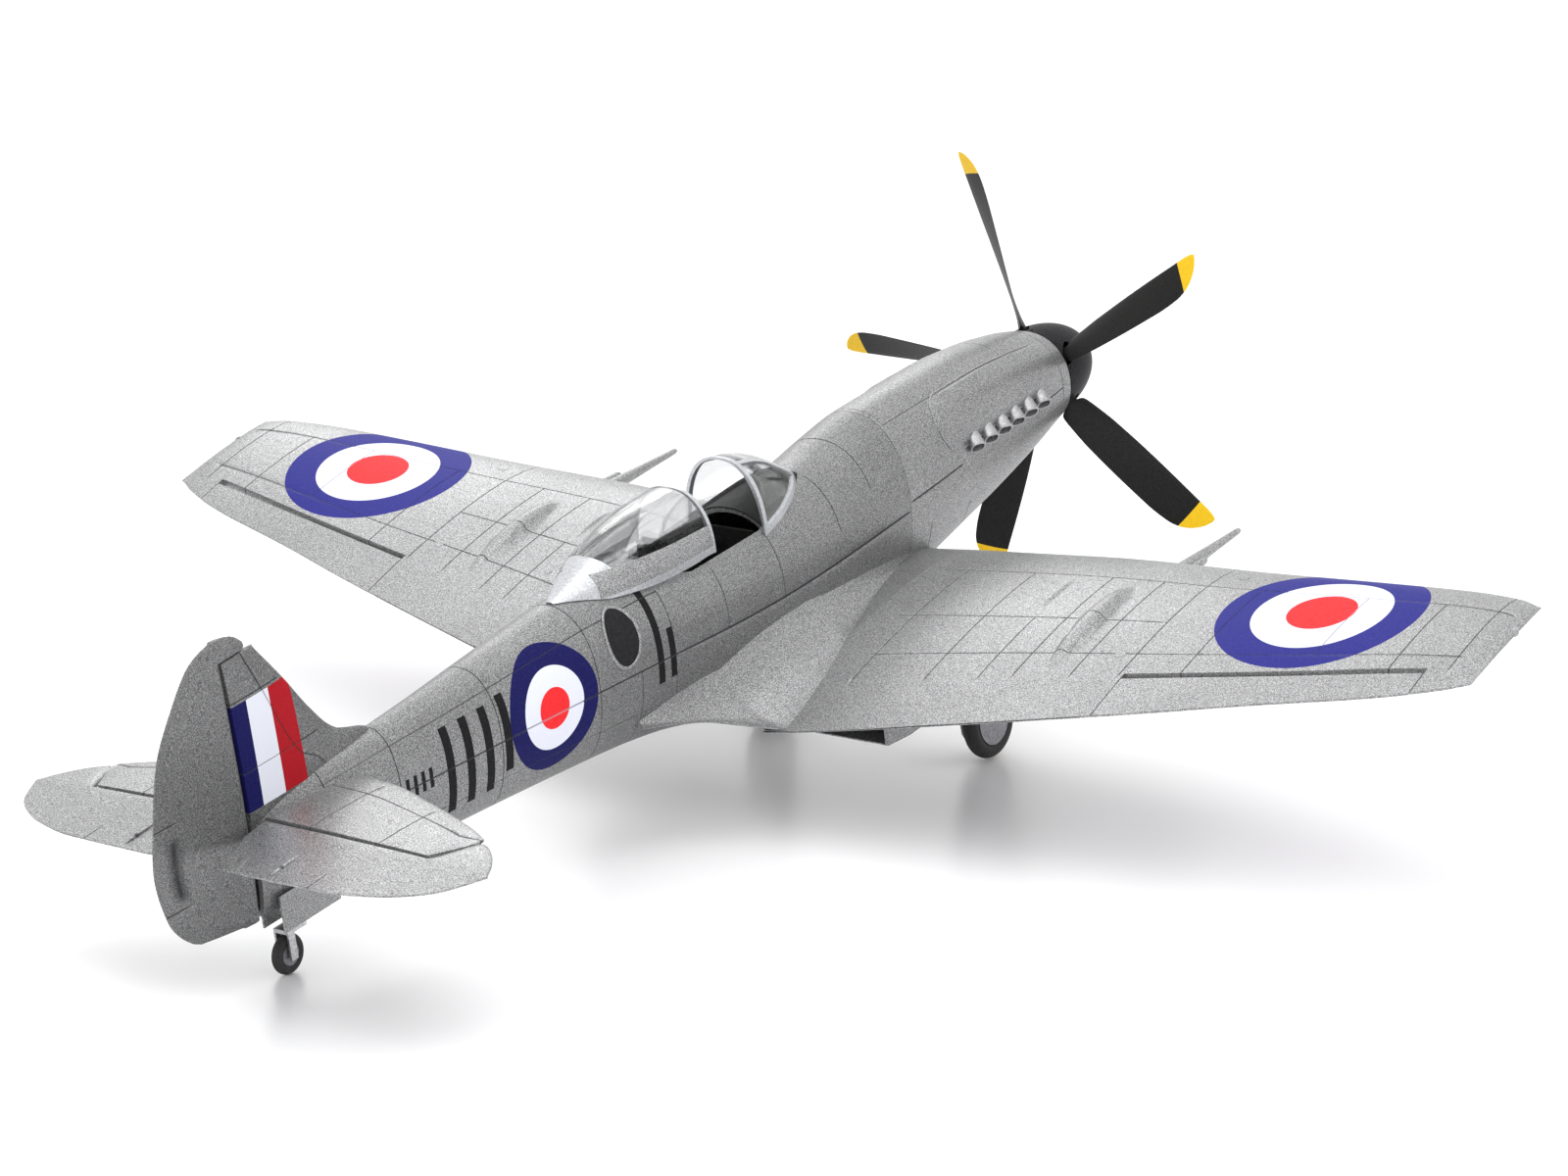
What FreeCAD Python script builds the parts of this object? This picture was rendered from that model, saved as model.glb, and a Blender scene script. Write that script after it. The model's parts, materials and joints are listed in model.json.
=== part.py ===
"""Electric radio-controlled fighter of about 1.1 m span, standing on its three wheels.

Every shape is modelled level, in the aircraft frame: +X to port, +Y aft, +Z up, millimetres.
The propeller shaft is parallel to Y. One placement, the ground attitude, then tilts and
shifts all sub-parts together so that the wheels stand on Z = 0.
"""
import FreeCAD, Part
import math
import os
import Sketcher

V = FreeCAD.Vector
doc = FreeCAD.newDocument("warbird")
sheet = doc.addObject("Spreadsheet::Sheet", "Dims")

# ---------------------------------------------------------------- driving dimensions, mm and deg
DIMENSIONS = {
    "ground_pitch": 9.55,        # nose-up angle when parked
    "shaft_height": 4.3,         # height of the propeller shaft above the datum
    "prop_station": 38.5,        # station of the blade plane
    "prop_radius": 182.0,
    "prop_phase": 15.0,          # turn of the propeller as parked
    "blade_count": 5,
    "spinner_radius": 37.0,
    "spinner_front": -20.0,
    "spinner_back": 46.4,
    "backplate_thick": 2.6,
    "cowl_front": 50.0,
    "cowl_back": 289.6,
    "cowl_wall": 2.0,
    "fuselage_front": 290.0,
    "fuselage_back": 968.0,
    "fuselage_wall": 4.0,
    "hatch_front": 122.0,
    "hatch_back": 286.0,
    "hatch_half_width": 26.0,
    "hatch_gap": 0.5,
    "hatch_sill": 30.0,
    "motor_shaft_radius": 2.5,
    "motor_can_radius": 18.0,
    "motor_can_front": 60.0,
    "motor_can_back": 92.0,
    "motor_gap": 0.5,
    "firewall_station": 104.0,
    "plywood": 3.0,
    "battery_width": 34.0,
    "battery_length": 105.0,
    "battery_thick": 25.0,
    "battery_station": 150.0,
    "battery_floor": -14.0,
    "wing_camber": 0.015,
    "wing_root_ratio": 0.13,
    "wing_tip_ratio": 0.085,
    "wing_edge": 1.6,            # thickness of the trailing edge
    "wing_tip": 560.0,
    "spar_radius": 5.0,
    "spar_length": 300.0,
    "spar_station": 352.0,
    "surface_gap": 0.8,          # gap round each control surface
    "flap_front_thick": 3.0,
    "tailplane_height": 18.0,
    "elevator_hinge": 961.0,
    "rudder_hinge": 974.0,
    "gear_track": 81.0,          # half the distance between the retract pivots
    "gear_station": 293.0,
    "gear_pivot_height": -66.0,
    "gear_leg": 104.4,           # pivot to axle
    "gear_splay": 4.2,
    "gear_sweep": 12.0,          # sweep of the leg in its well
    "wheel_offset": 10.0,        # wheel centre outboard of the leg
    "tyre_radius": 29.0,
    "tyre_bead": 6.0,
    "hub_width": 11.0,
    "axle_radius": 2.0,
    "running_gap": 0.06,
    "tail_axle_station": 949.8,
    "tail_axle_height": -75.3,
    "tail_tyre_radius": 13.5,
    "tail_tyre_bead": 3.6,
    "tail_hub_width": 6.0,
    "tail_pivot_station": 938.0,
    "canopy_travel": 57.0,
    "canopy_front": 510.0,
    "canopy_length": 143.0,
    "canopy_wall": 1.4,
    "windscreen_front": 373.0,
    "windscreen_back": 452.0,
    "servo_length": 23.0,
    "servo_width": 12.0,
    "servo_case": 22.0,
    "arm_thick": 1.6,
    "link_pin": 0.8,
    "link_gap": 0.08,
}

for row, (alias, value) in enumerate(DIMENSIONS.items(), start=1):
    sheet.set(f"A{row}", str(value))
    sheet.setAlias(f"A{row}", alias)
doc.recompute()


def dim(alias):
    """Value of a driving dimension, from the sheet."""
    return float(getattr(sheet, alias))


# ---------------------------------------------------------------- outlines: (station, value)
CROWN = [(50, 42.3), (80, 50), (120, 56), (170, 60), (230, 60.5), (280, 60), (320, 55),
         (360, 48), (400, 45), (450, 42), (520, 43), (600, 48), (650, 48), (700, 45),
         (800, 39), (850, 37), (968, 30)]
KEEL = [(50, -33.7), (100, -48), (150, -60), (200, -70), (250, -80), (300, -90), (340, -98),
        (400, -102), (460, -100), (520, -92), (570, -80), (620, -72), (680, -66), (750, -60),
        (820, -55), (880, -50), (968, -41)]
HALF_WIDTH = [(50, 38), (100, 42), (200, 45), (300, 46.5), (400, 47), (500, 45), (600, 40),
              (700, 33), (800, 24.5), (900, 14), (968, 6.5)]
WAIST = [(50, 4.3), (150, 0), (300, -8), (450, -12), (600, -8), (750, -4), (968, -2)]
WING_FRONT = [(0, 250), (97, 255.5), (199, 258), (338, 274), (439, 284), (504, 292), (545, 303),
              (560, 312)]
WING_BACK = [(0, 536), (97, 532.5), (199, 514), (338, 482.5), (439, 457), (504, 442),
             (545, 426), (560, 417)]
WING_STATIONS = [0, 97, 199, 290, 370, 439, 504, 545, 560]
WING_FRONT_HEIGHT = (-65.0, 0.105)      # height at the centreline, rise per mm of span
WING_BACK_HEIGHT = (-93.0, 0.131)
TAIL_FRONT = [(0, 872), (42, 876), (85, 890), (132, 909), (150, 919), (155, 923)]
ELEVATOR_BACK = [(9, 1018), (43, 1018), (105, 1017), (140, 1009), (160, 999), (173, 988), (180, 976)]
FIN_FRONT = [(30, 838), (40.4, 848.7), (50.3, 875.7), (72.1, 895.8), (99.1, 914.3), (131, 938)]
RUDDER_BACK = [(-41, 985), (-33.6, 1026.6), (-7.9, 1046.9), (20.8, 1051.7), (55.3, 1045.1),
               (91.4, 1033.7), (123.8, 1010.4), (133, 1002)]
FLAP_HINGE = [(76, 485), (308, 448.5)]
AILERON_HINGE = [(316, 447.5), (526, 413.7)]


def value(outline, station):
    """Smooth value of an outline at a station: cubic pieces that never overshoot."""
    if station <= outline[0][0]:
        return outline[0][1]
    if station >= outline[-1][0]:
        return outline[-1][1]
    steps = [(b[1] - a[1]) / (b[0] - a[0]) for a, b in zip(outline, outline[1:])]
    slopes = [steps[0]]
    for before, after in zip(steps, steps[1:]):
        same_way = before * after > 0
        slopes.append(2 * before * after / (before + after) if same_way else 0.0)
    slopes.append(steps[-1])
    piece = next(i for i, p in enumerate(outline[1:]) if station <= p[0])
    (x0, y0), (x1, y1) = outline[piece], outline[piece + 1]
    width = x1 - x0
    u = (station - x0) / width
    return ((2 * u**3 - 3 * u**2 + 1) * y0 + (u**3 - 2 * u**2 + u) * width * slopes[piece]
            + (3 * u**2 - 2 * u**3) * y1 + (u**3 - u**2) * width * slopes[piece + 1])


# ---------------------------------------------------------------- shape helpers
def closed_curve(points):
    curve = Part.BSplineCurve()
    curve.interpolate(Points=points, PeriodicFlag=True)
    return Part.Wire([curve.toShape()])


def open_curve(points):
    curve = Part.BSplineCurve()
    curve.interpolate(Points=points)
    return curve.toShape()


def block(low, high):
    """Box between two corners."""
    low, high = V(*low), V(*high)
    size = high - low
    return Part.makeBox(size.x, size.y, size.z, low)


def rod(start, end, radius, end_radius=None):
    """Round bar between two points, tapered when a second radius is given."""
    start, end = V(*start), V(*end)
    way = end - start
    if end_radius is None:
        return Part.makeCylinder(radius, way.Length, start, way)
    return Part.makeCone(radius, end_radius, way.Length, start, way)


def prism(points, low, high):
    """Upright prism over a plan outline of (x, y) points."""
    wire = Part.makePolygon([V(x, y, low) for x, y in points + points[:1]])
    return Part.Face(wire).extrude(V(0, 0, high - low))


def mirrored(shape):
    return shape.mirror(V(0, 0, 0), V(1, 0, 0))


def both_sides(shape):
    return [shape, mirrored(shape)]


def power(number, exponent):
    return math.copysign(abs(number) ** exponent, number)


# ---------------------------------------------------------------- big forms
def hull_ring(station, grow):
    """Fuselage section: an oval, a little squarer than an ellipse."""
    waist = value(WAIST, station)
    crown = value(CROWN, station) + grow - waist
    keel = waist - value(KEEL, station) + grow
    half = value(HALF_WIDTH, station) + grow
    squareness = 0.92
    ring = []
    for i in range(24):
        angle = 2 * math.pi * i / 24
        rise = power(math.sin(angle), squareness)
        ring.append(V(half * power(math.cos(angle), squareness), station,
                      waist + rise * (crown if rise > 0 else keel)))
    return closed_curve(ring)


def hull(front, back, grow=0.0):
    """Solid fuselage form between two stations, grown outward or (negative) inward."""
    count = max(4, round((back - front) / 40))
    stations = [front + (back - front) * i / count for i in range(count + 1)]
    return Part.makeLoft([hull_ring(s, grow) for s in stations], True, False)


def wing_frame(span):
    """Leading edge, chord vector and thickness ratio of the wing at a span station."""
    lead = V(span, value(WING_FRONT, span), WING_FRONT_HEIGHT[0] + WING_FRONT_HEIGHT[1] * span)
    trail = V(span, value(WING_BACK, span), WING_BACK_HEIGHT[0] + WING_BACK_HEIGHT[1] * span)
    share = span / dim("wing_tip")
    ratio = dim("wing_root_ratio") * (1 - share) + dim("wing_tip_ratio") * share
    return lead, trail - lead, ratio


def wing_half_thickness(share, ratio):
    """Half thickness of the section, per unit of chord."""
    return 5 * ratio * (0.2969 * math.sqrt(share) - 0.126 * share - 0.3516 * share**2
                        + 0.2843 * share**3 - 0.1036 * share**4)


def wing_point(span, share, side):
    """Point of the wing: side is +1 on the upper skin, -1 on the lower, 0 midway."""
    lead, chord, ratio = wing_frame(span)
    middle = 4 * dim("wing_camber") * share * (1 - share)
    half = wing_half_thickness(share, ratio)
    edge = dim("wing_edge") / 2 * share
    lift = (middle + side * half) * chord.Length + side * edge
    return lead + chord * share + V(0, 0, lift)


def wing_share(span, station):
    """Share of the chord at which a station lies."""
    lead, chord, _ = wing_frame(span)
    return (station - lead.y) / chord.y


def wing_ring(span):
    shares = [0.5 - 0.5 * math.cos(math.pi * i / 12) for i in range(13)]
    upper = [wing_point(span, s, 1) for s in reversed(shares)]
    lower = [wing_point(span, s, -1) for s in shares[1:]]
    return Part.Wire([open_curve(upper + lower), Part.makeLine(lower[-1], upper[0])])


def wing_form():
    """Left wing from the centreline to the tip, as one solid."""
    return Part.makeLoft([wing_ring(s) for s in WING_STATIONS], True, False)


def teardrop(centre, radius, length, across, along):
    """Section of a hinged surface: round nose about the hinge, flat sides to a thin edge."""
    edge = 0.6
    nose_top, nose_low = centre + across * radius, centre - across * radius
    tail_top, tail_low = (centre + along * length + across * edge,
                          centre + along * length - across * edge)
    nose = Part.Arc(nose_top, centre - along * radius, nose_low).toShape()
    return Part.Wire([nose, Part.makeLine(nose_low, tail_low), Part.makeLine(tail_low, tail_top),
                      Part.makeLine(tail_top, nose_top)])


def half_lens(lead, back, half, across):
    """Section of a fixed tail surface: round leading edge and a flat back wall."""
    chord = back - lead
    upper = [lead + chord * s + across * half * math.sqrt(s * (2 - s)) for s in (1, 0.5, 0.2, 0.05)]
    lower = [lead + chord * s - across * half * math.sqrt(s * (2 - s)) for s in (0.05, 0.2, 0.5, 1)]
    return Part.Wire([open_curve(upper + [lead] + lower), Part.makeLine(lower[-1], upper[0])])


# ---------------------------------------------------------------- hinge lines and linkages
def mid_wing(outline, span):
    """Point on a hinge line, midway through the wing's thickness."""
    station = outline[0][1] + (outline[1][1] - outline[0][1]) * (
        (span - outline[0][0]) / (outline[1][0] - outline[0][0]))
    share = wing_share(span, station)
    return (wing_point(span, share, 1) + wing_point(span, share, -1)) * 0.5


def half_gauge(outline, span):
    """Half the wing's thickness at a hinge line."""
    centre = mid_wing(outline, span)
    share = wing_share(span, centre.y)
    return (wing_point(span, share, 1) - wing_point(span, share, -1)).Length / 2


class Linkage:
    """Servo, arm, pushrod and horn. Arm and horn are equal, so the rod stays parallel."""

    def __init__(self, hinge, axis, down, reach, drop):
        self.hinge = hinge
        self.axis = V(axis).normalize()
        self.down = V(down).normalize()
        self.forward = self.down.cross(self.axis).normalize()
        if self.forward.y > 0:
            self.forward = self.forward * -1
        self.pivot = hinge + self.forward * reach
        self.drop = drop

    def lever(self, centre, length, extra_radius):
        """Flat lever from a pivot, with a hole for the rod's pin at its tip."""
        thick = dim("arm_thick")
        tip = centre + self.down * length
        base = centre - self.axis * (thick / 2)
        across = self.forward * 2.2
        corners = [base + across, base + self.down * length + across,
                   base + self.down * length - across, base - across]
        plate = Part.Face(Part.makePolygon(corners + corners[:1])).extrude(self.axis * thick)
        ends = [Part.makeCylinder(extra_radius, thick, base, self.axis),
                Part.makeCylinder(2.2, thick, base + self.down * length, self.axis)]
        hole = Part.makeCylinder(dim("link_pin") + dim("link_gap"), thick * 3,
                                 tip - self.axis * (thick * 1.5), self.axis)
        return plate.fuse(ends).removeSplitter().cut(hole)

    def arm(self):
        return self.lever(self.pivot, self.drop, 3.2)

    def horn(self):
        return self.lever(self.hinge, self.drop, 2.2)

    def pushrod(self):
        """Straight wire beside the levers, with a pin at each end."""
        offset = self.axis * (dim("arm_thick") / 2 + 1.6)
        start = self.pivot + self.down * self.drop + offset
        end = self.hinge + self.down * self.drop + offset
        wire = Part.makeCylinder(1.1, (end - start).Length, start, end - start)
        pins = [Part.makeCylinder(dim("link_pin"), 4.2, p - self.axis * 3.9, self.axis)
                for p in (start, end)]
        heads = [Part.makeCylinder(1.7, 1.6, p - self.axis * 0.8, self.axis)
                 for p in (start, end)]
        return wire.fuse(pins + heads).removeSplitter()

    def servo(self, grow=0.0):
        """Servo case, its output boss facing the arm."""
        length, width, tall = dim("servo_length"), dim("servo_width"), dim("servo_case")
        top = self.pivot - self.axis * (dim("arm_thick") / 2 + 2.4)
        centre = top + self.forward * 5.5
        corner = centre - self.forward * (length / 2 + grow) - self.down * (width / 2 + grow)
        ends = [corner, corner + self.forward * (length + 2 * grow)]
        side = self.down * (width + 2 * grow)
        outline = [ends[0], ends[1], ends[1] + side, ends[0] + side, ends[0]]
        case = Part.Face(Part.makePolygon(outline)).extrude(self.axis * -(tall + grow))
        if grow:
            return case
        boss = Part.makeCylinder(5.4, 2.0, top, self.axis)
        return case.fuse(boss).removeSplitter()

    def slot(self, deep):
        """Room that the arm needs to swing in."""
        base = self.pivot - self.axis * 3.4
        swing = self.drop + 4
        corners = [base + self.forward * swing - self.down * 5,
                   base - self.forward * swing - self.down * 5,
                   base - self.forward * swing + self.down * deep,
                   base + self.forward * swing + self.down * deep]
        return Part.Face(Part.makePolygon(corners + corners[:1])).extrude(self.axis * 7.4)


def aileron_linkage():
    """Aileron linkage under the left wing; the right one is its mirror image."""
    hinge = mid_wing(AILERON_HINGE, 352)
    axis = (mid_wing(AILERON_HINGE, 526) - mid_wing(AILERON_HINGE, 316)).normalize()
    ahead = (wing_point(343, 0.52, 1) + wing_point(343, 0.52, -1)) * 0.5 - hinge
    ahead = ahead - axis * ahead.dot(axis)
    down = axis.cross(ahead)
    return Linkage(hinge, axis, down if down.z < 0 else down * -1, 58, 14.5)


AILERON_LINK = aileron_linkage()
ELEVATOR_LINK = Linkage(V(20, dim("elevator_hinge"), dim("tailplane_height")), V(1, 0, 0),
                        V(0, 0, -1), 380, 14)
RUDDER_LINK = Linkage(V(0, dim("rudder_hinge"), -10), V(0, 0, 1), V(1, 0, 0), 380, 16)

# ---------------------------------------------------------------- main undercarriage frames
GEAR_PIVOT = V(dim("gear_track"), dim("gear_station"), dim("gear_pivot_height"))
WING_UP = V(-0.118, 0.09, 1).normalize()


def leg_down():
    """Placement of the left leg, down: local X along the leg, Y aft, Z outboard."""
    splay = math.radians(dim("gear_splay"))
    along = V(math.sin(splay), 0, -math.cos(splay))
    turn = FreeCAD.Rotation(along, V(0, 1, 0), along.cross(V(0, 1, 0)), "XYZ")
    return FreeCAD.Placement(GEAR_PIVOT, turn)


def leg_up():
    """Placement of the left leg, folded into the wing and swept aft."""
    sweep = math.radians(dim("gear_sweep"))
    flat = V(math.cos(sweep), math.sin(sweep), 0)
    along = (flat - WING_UP * flat.dot(WING_UP)).normalize()
    turn = FreeCAD.Rotation(along, WING_UP.cross(along), WING_UP, "XYZ")
    return FreeCAD.Placement(GEAR_PIVOT, turn)


LEG_DOWN = leg_down()
LEG_UP = leg_up()
RETRACTION = LEG_UP.Rotation.multiply(LEG_DOWN.Rotation.inverted())
TRUNNION = V(RETRACTION.Axis)


def placed(shape, placement):
    moved = shape.copy()
    moved.Placement = placement
    return moved


# ---------------------------------------------------------------- fuselage
def fuselage_halves():
    """Left and right foam shells. Only the left one has the pushrod slots."""
    front, back, wall = dim("fuselage_front"), dim("fuselage_back"), dim("fuselage_wall")
    shell = hull(front, back).cut(hull(front - 1, back - 8, -wall))
    half = shell.common(block((0, front - 5, -150), (80, back + 5, 150)))
    hinge, level = dim("elevator_hinge"), dim("tailplane_height")
    openings = [block((-1, 447, 20), (30, 562, 120)),
                spar(dim("spar_radius") + 0.2),
                rod((-20, hinge, level), (20, hinge, level), 2.9),
                rod((0, dim("tail_pivot_station"), -80), (0, dim("tail_pivot_station"), -22), 3.2)]
    half = half.cut(openings)
    slots = [block((16, 740, 0), (36, 885, 7.5)), block((10.5, 790, -11.5), (31, 940, -4))]
    return half.cut(slots), mirrored(half)


def spar(radius):
    """Left spar tube, in the plane of the wing's middle."""
    start = (wing_point(0, 0.33, 1) + wing_point(0, 0.33, -1)) * 0.5
    inner = V(0, dim("spar_station"), start.z)
    share = wing_share(280, dim("spar_station"))
    outer = (wing_point(280, share, 1) + wing_point(280, share, -1)) * 0.5
    way = (outer - inner).normalize()
    return rod(inner, inner + way * dim("spar_length"), radius)


def spar_tubes():
    tube = spar(dim("spar_radius")).cut(spar(dim("spar_radius") - 1))
    trimmed = tube.cut(block((-50, 300, -150), (0.05, 400, 0)))
    return Part.Compound(both_sides(trimmed))


def rocker_blister(side):
    """Long low bulge over the exhausts."""
    ball = Part.makeSphere(1)
    stretch = FreeCAD.Matrix()
    stretch.scale(8.0, 78.0, 7.0)
    return ball.transformGeometry(stretch).translate(V(side * 33.5, 166, 38))


def cowl_shell():
    front, back, wall = dim("cowl_front"), dim("cowl_back"), dim("cowl_wall")
    outer = hull(front, back).fuse([rocker_blister(1), rocker_blister(-1)])
    return outer.cut(hull(front - 1, back + 1, -wall))


def hatch_block(shrink):
    wide = dim("hatch_half_width") - shrink
    return block((-wide, dim("hatch_front") + shrink, dim("hatch_sill")),
                 (wide, dim("hatch_back") - shrink, 90))


def exhaust_stacks():
    """Six flared stubs on each side, butted against the cowl."""
    form = hull(60, 260, 0.1)
    stubs = []
    for i in range(6):
        station = 103 + 19.6 * i
        stub = rod((36, station - 4, 11), (48.5, station + 7, 10.5), 3.2, 4.4)
        bore = rod((45, station + 3.9, 10.6), (49, station + 7.4, 10.4), 2.6, 3.4)
        stubs.extend(both_sides(stub.cut(bore).cut(form)))
    return Part.Compound(stubs)


def plywood_frame():
    """Firewall, battery tray and servo tray."""
    thick = dim("plywood")
    wall = dim("firewall_station")
    centre = dim("shaft_height")
    firewall = hull(wall, wall + thick * 2, -dim("cowl_wall") - 0.4)
    firewall = firewall.cut(rod((0, wall - 1, centre), (0, wall + 9, centre), 6))
    floor = dim("battery_floor")
    half = dim("battery_width") / 2 + 3
    tray = block((-half, wall + thick * 2 + 0.1, floor - 0.3 - thick), (half, 284, floor - 0.3))
    tray = tray.cut([block((-half + 6, y, floor - 9), (half - 6, y + 8, floor)) for y in (140, 250)])
    servo_tray = block((-28, 560, -38.6), (28, 606, -35.6)).cut(block((-20, 567, -40), (-10, 600, -30)))
    return Part.Compound([firewall, tray, servo_tray])


# ---------------------------------------------------------------- power train
def motor_rotor():
    """Bell of the outrunner motor with its shaft."""
    centre = dim("shaft_height")
    radius, front, back = (dim("motor_can_radius"), dim("motor_can_front"), dim("motor_can_back"))
    bell = rod((0, front - 3, centre), (0, back, centre), radius)
    bell = bell.cut(rod((0, front, centre), (0, back + 1, centre), radius - 4))
    vents = [rod((11 * math.cos(a), front - 4, centre + 11 * math.sin(a)),
                 (11 * math.cos(a), front + 1, centre + 11 * math.sin(a)), 2.2)
             for a in (i * math.pi / 3 for i in range(6))]
    shaft = rod((0, 26, centre), (0, 100, centre), dim("motor_shaft_radius"))
    return bell.cut(vents).fuse(shaft).removeSplitter()


def motor_stator():
    """Windings and rear mount of the motor, bored for the shaft."""
    centre, back = dim("shaft_height"), dim("motor_can_back")
    core = rod((0, dim("motor_can_front") + 3, centre), (0, back + 1, centre),
               dim("motor_can_radius") - 4 - dim("motor_gap"))
    mount = rod((0, back + 1, centre), (0, dim("firewall_station") - 0.1, centre), 16)
    bore = rod((0, 0, centre), (0, 120, centre), dim("motor_shaft_radius") + dim("running_gap"))
    return core.fuse(mount).removeSplitter().cut(bore)


def blade_angle(index):
    return dim("prop_phase") + 360 / dim("blade_count") * index


BLADE_OUTLINE = [(18, 10, 0), (30, 14, 0), (37, 18, 0), (50, 26, 0), (72, 30, 0), (104, 31, 0),
                 (136, 30.5, 0), (155, 28, 0.6), (166, 24, 1.8), (174, 18, 3.6), (179, 11, 5.6),
                 (181.5, 5, 7.5)]       # radius, chord, shift of the chord's middle


def blade():
    """Twisted blade pointing up from the shaft."""
    sections = []
    for radius, chord, shift in BLADE_OUTLINE:
        angle = math.radians(0.2 * max(radius, 37) - 62.5)
        thick = max(1.2, 8.0 * (1 - radius / 60)) if radius < 48 else 3.4 - radius * 0.013
        if radius < 34:
            thick = 8.0
        ring = []
        for i in range(12):
            turn = 2 * math.pi * i / 12
            along, up = shift + chord / 2 * math.cos(turn), thick / 2 * math.sin(turn)
            ring.append(V(along * math.cos(angle) - up * math.sin(angle),
                          along * math.sin(angle) + up * math.cos(angle), radius))
        sections.append(closed_curve(ring))
    return Part.makeLoft(sections, True, False)


def propeller():
    centre, station = dim("shaft_height"), dim("prop_station")
    hub = rod((0, 33, centre), (0, dim("spinner_back"), centre), 19)
    blades = []
    for i in range(int(dim("blade_count"))):
        one = blade()
        one.rotate(V(0, 0, 0), V(0, 1, 0), blade_angle(i))
        blades.append(one.translate(V(0, station, centre)))
    bore = rod((0, 0, centre), (0, 60, centre), dim("motor_shaft_radius"))
    return hub.fuse(blades).cut(bore)


def spinner_profile(inset):
    """Half outline of the pointed spinner, as (station, radius)."""
    front, back, radius = dim("spinner_front"), dim("spinner_back"), dim("spinner_radius")
    points = []
    for i in range(9):
        share = i / 8
        points.append(V(max(0.0, radius * math.sin(share * math.pi / 2) ** 0.9 - inset),
                        front + inset + (back - front - inset) * (1 - math.cos(share * math.pi / 2)), 0))
    return points


def spinner_cone():
    """Thin cone over the hub, slotted for the blades."""
    centre, back = dim("shaft_height"), dim("spinner_back")

    def solid(inset):
        points = spinner_profile(inset)
        lid = Part.makeLine(points[-1], V(0, back, 0))
        axis = Part.makeLine(V(0, back, 0), points[0])
        return Part.Face(Part.Wire([open_curve(points), lid, axis])).revolve(
            V(0, 0, 0), V(0, 1, 0), 360)

    cone = solid(0).cut(solid(1.5))
    slots = []
    for i in range(int(dim("blade_count"))):
        slot = block((-8, dim("prop_station") - 9, 20), (8, back + 1, 45))
        slot.rotate(V(0, 0, 0), V(0, 1, 0), blade_angle(i))
        slots.append(slot)
    return cone.cut(slots).translate(V(0, 0, centre))


def spinner_backplate():
    centre, back = dim("shaft_height"), dim("spinner_back")
    plate = rod((0, back, centre), (0, back + dim("backplate_thick"), centre),
                dim("spinner_radius") - 0.2)
    return plate.cut(rod((0, 0, centre), (0, 60, centre), dim("motor_shaft_radius")))


# ---------------------------------------------------------------- wings
def hinged_region(outline, ahead, grow):
    """Prism behind a hinge line moved ahead, and grown at both ends."""
    (x0, y0), (x1, y1) = outline
    slope = (y1 - y0) / (x1 - x0)
    x0, x1 = x0 - grow, x1 + grow
    y0, y1 = y0 - slope * grow - ahead, y1 + slope * grow - ahead
    return prism([(x0, y0), (x1, y1), (x1, 620), (x0, 620)], -200, 100)


def aileron_nose():
    """Tapered bar about the aileron's hinge, a little longer than the aileron."""
    inner, outer = mid_wing(AILERON_HINGE, 306), mid_wing(AILERON_HINGE, 536)
    return rod(inner, outer, half_gauge(AILERON_HINGE, 306) * 0.96,
               half_gauge(AILERON_HINGE, 536) * 0.96)


def aileron(form):
    x0, x1 = AILERON_HINGE[0][0], AILERON_HINGE[1][0]
    nose = aileron_nose().common(block((x0, 300, -200), (x1, 600, 100)))
    tail = form.common(hinged_region(AILERON_HINGE, 0, 0))
    return tail.fuse([nose, AILERON_LINK.horn()])


def flap_wedge(lift, ahead, grow):
    """Wedge under the trailing edge that holds the split flap."""
    sections = []
    for (span, station), side in zip(FLAP_HINGE, (-1, 1)):
        share = wing_share(span, station)
        floor = wing_point(span, share, -1).z
        edge = wing_point(span, 1, 0)
        x = span + side * grow
        top = floor + dim("flap_front_thick") + lift
        rise = (edge.z - 0.1 + lift - top) / (edge.y - station)
        corners = [V(x, station - ahead, top - rise * ahead),
                   V(x, edge.y + 9, edge.z - 0.1 + lift + rise * 9),
                   V(x, edge.y + 9, floor - 30), V(x, station - ahead, floor - 30)]
        sections.append(Part.makePolygon(corners + corners[:1]))
    return Part.makeLoft(sections, True, True)


DOOR_OUTLINE = [(13, 8.5), (66, 9.5), (84, 15), (112, 15), (122, 9)]


def door_plan(grow):
    upper = [(u + (grow if u > 20 else -grow), v + grow) for u, v in DOOR_OUTLINE]
    lower = [(u, -v) for u, v in reversed(upper)]
    return upper + lower


def gear_well():
    """Space for the folded leg, door and wheel, open below."""
    offset, bead, radius = dim("wheel_offset"), dim("tyre_bead"), dim("tyre_radius")
    leg = dim("gear_leg")
    wheel = Part.makeCylinder(radius + 1.6, offset + bead + 15.8, V(leg, 0, -14))
    slot = prism(door_plan(1.8), -14, 6)
    inner = prism([(-2, 8), (24, 8), (24, -8), (-2, -8)], -14, 6)
    return placed(wheel.fuse([slot, inner]), LEG_UP)


def retract_pocket(grow):
    return block((56 - grow, 281 - grow, -90), (88 + grow, 305 + grow, -50 + grow))


def wing(form, body_form):
    """Left foam wing with its bays, wells and bores."""
    gap = dim("surface_gap")
    ahead = half_gauge(AILERON_HINGE, AILERON_HINGE[0][0]) * 0.96 + gap
    bays = [body_form,
            hinged_region(AILERON_HINGE, ahead, gap),
            flap_wedge(0.5, gap, gap),
            gear_well(),
            cannon_sockets(),
            retract_pocket(0.3),
            spar(dim("spar_radius") + 0.05),
            AILERON_LINK.servo(0.3),
            AILERON_LINK.slot(30)]
    panel = form
    for bay in bays:
        panel = panel.cut(bay)
    return largest(panel)


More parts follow.
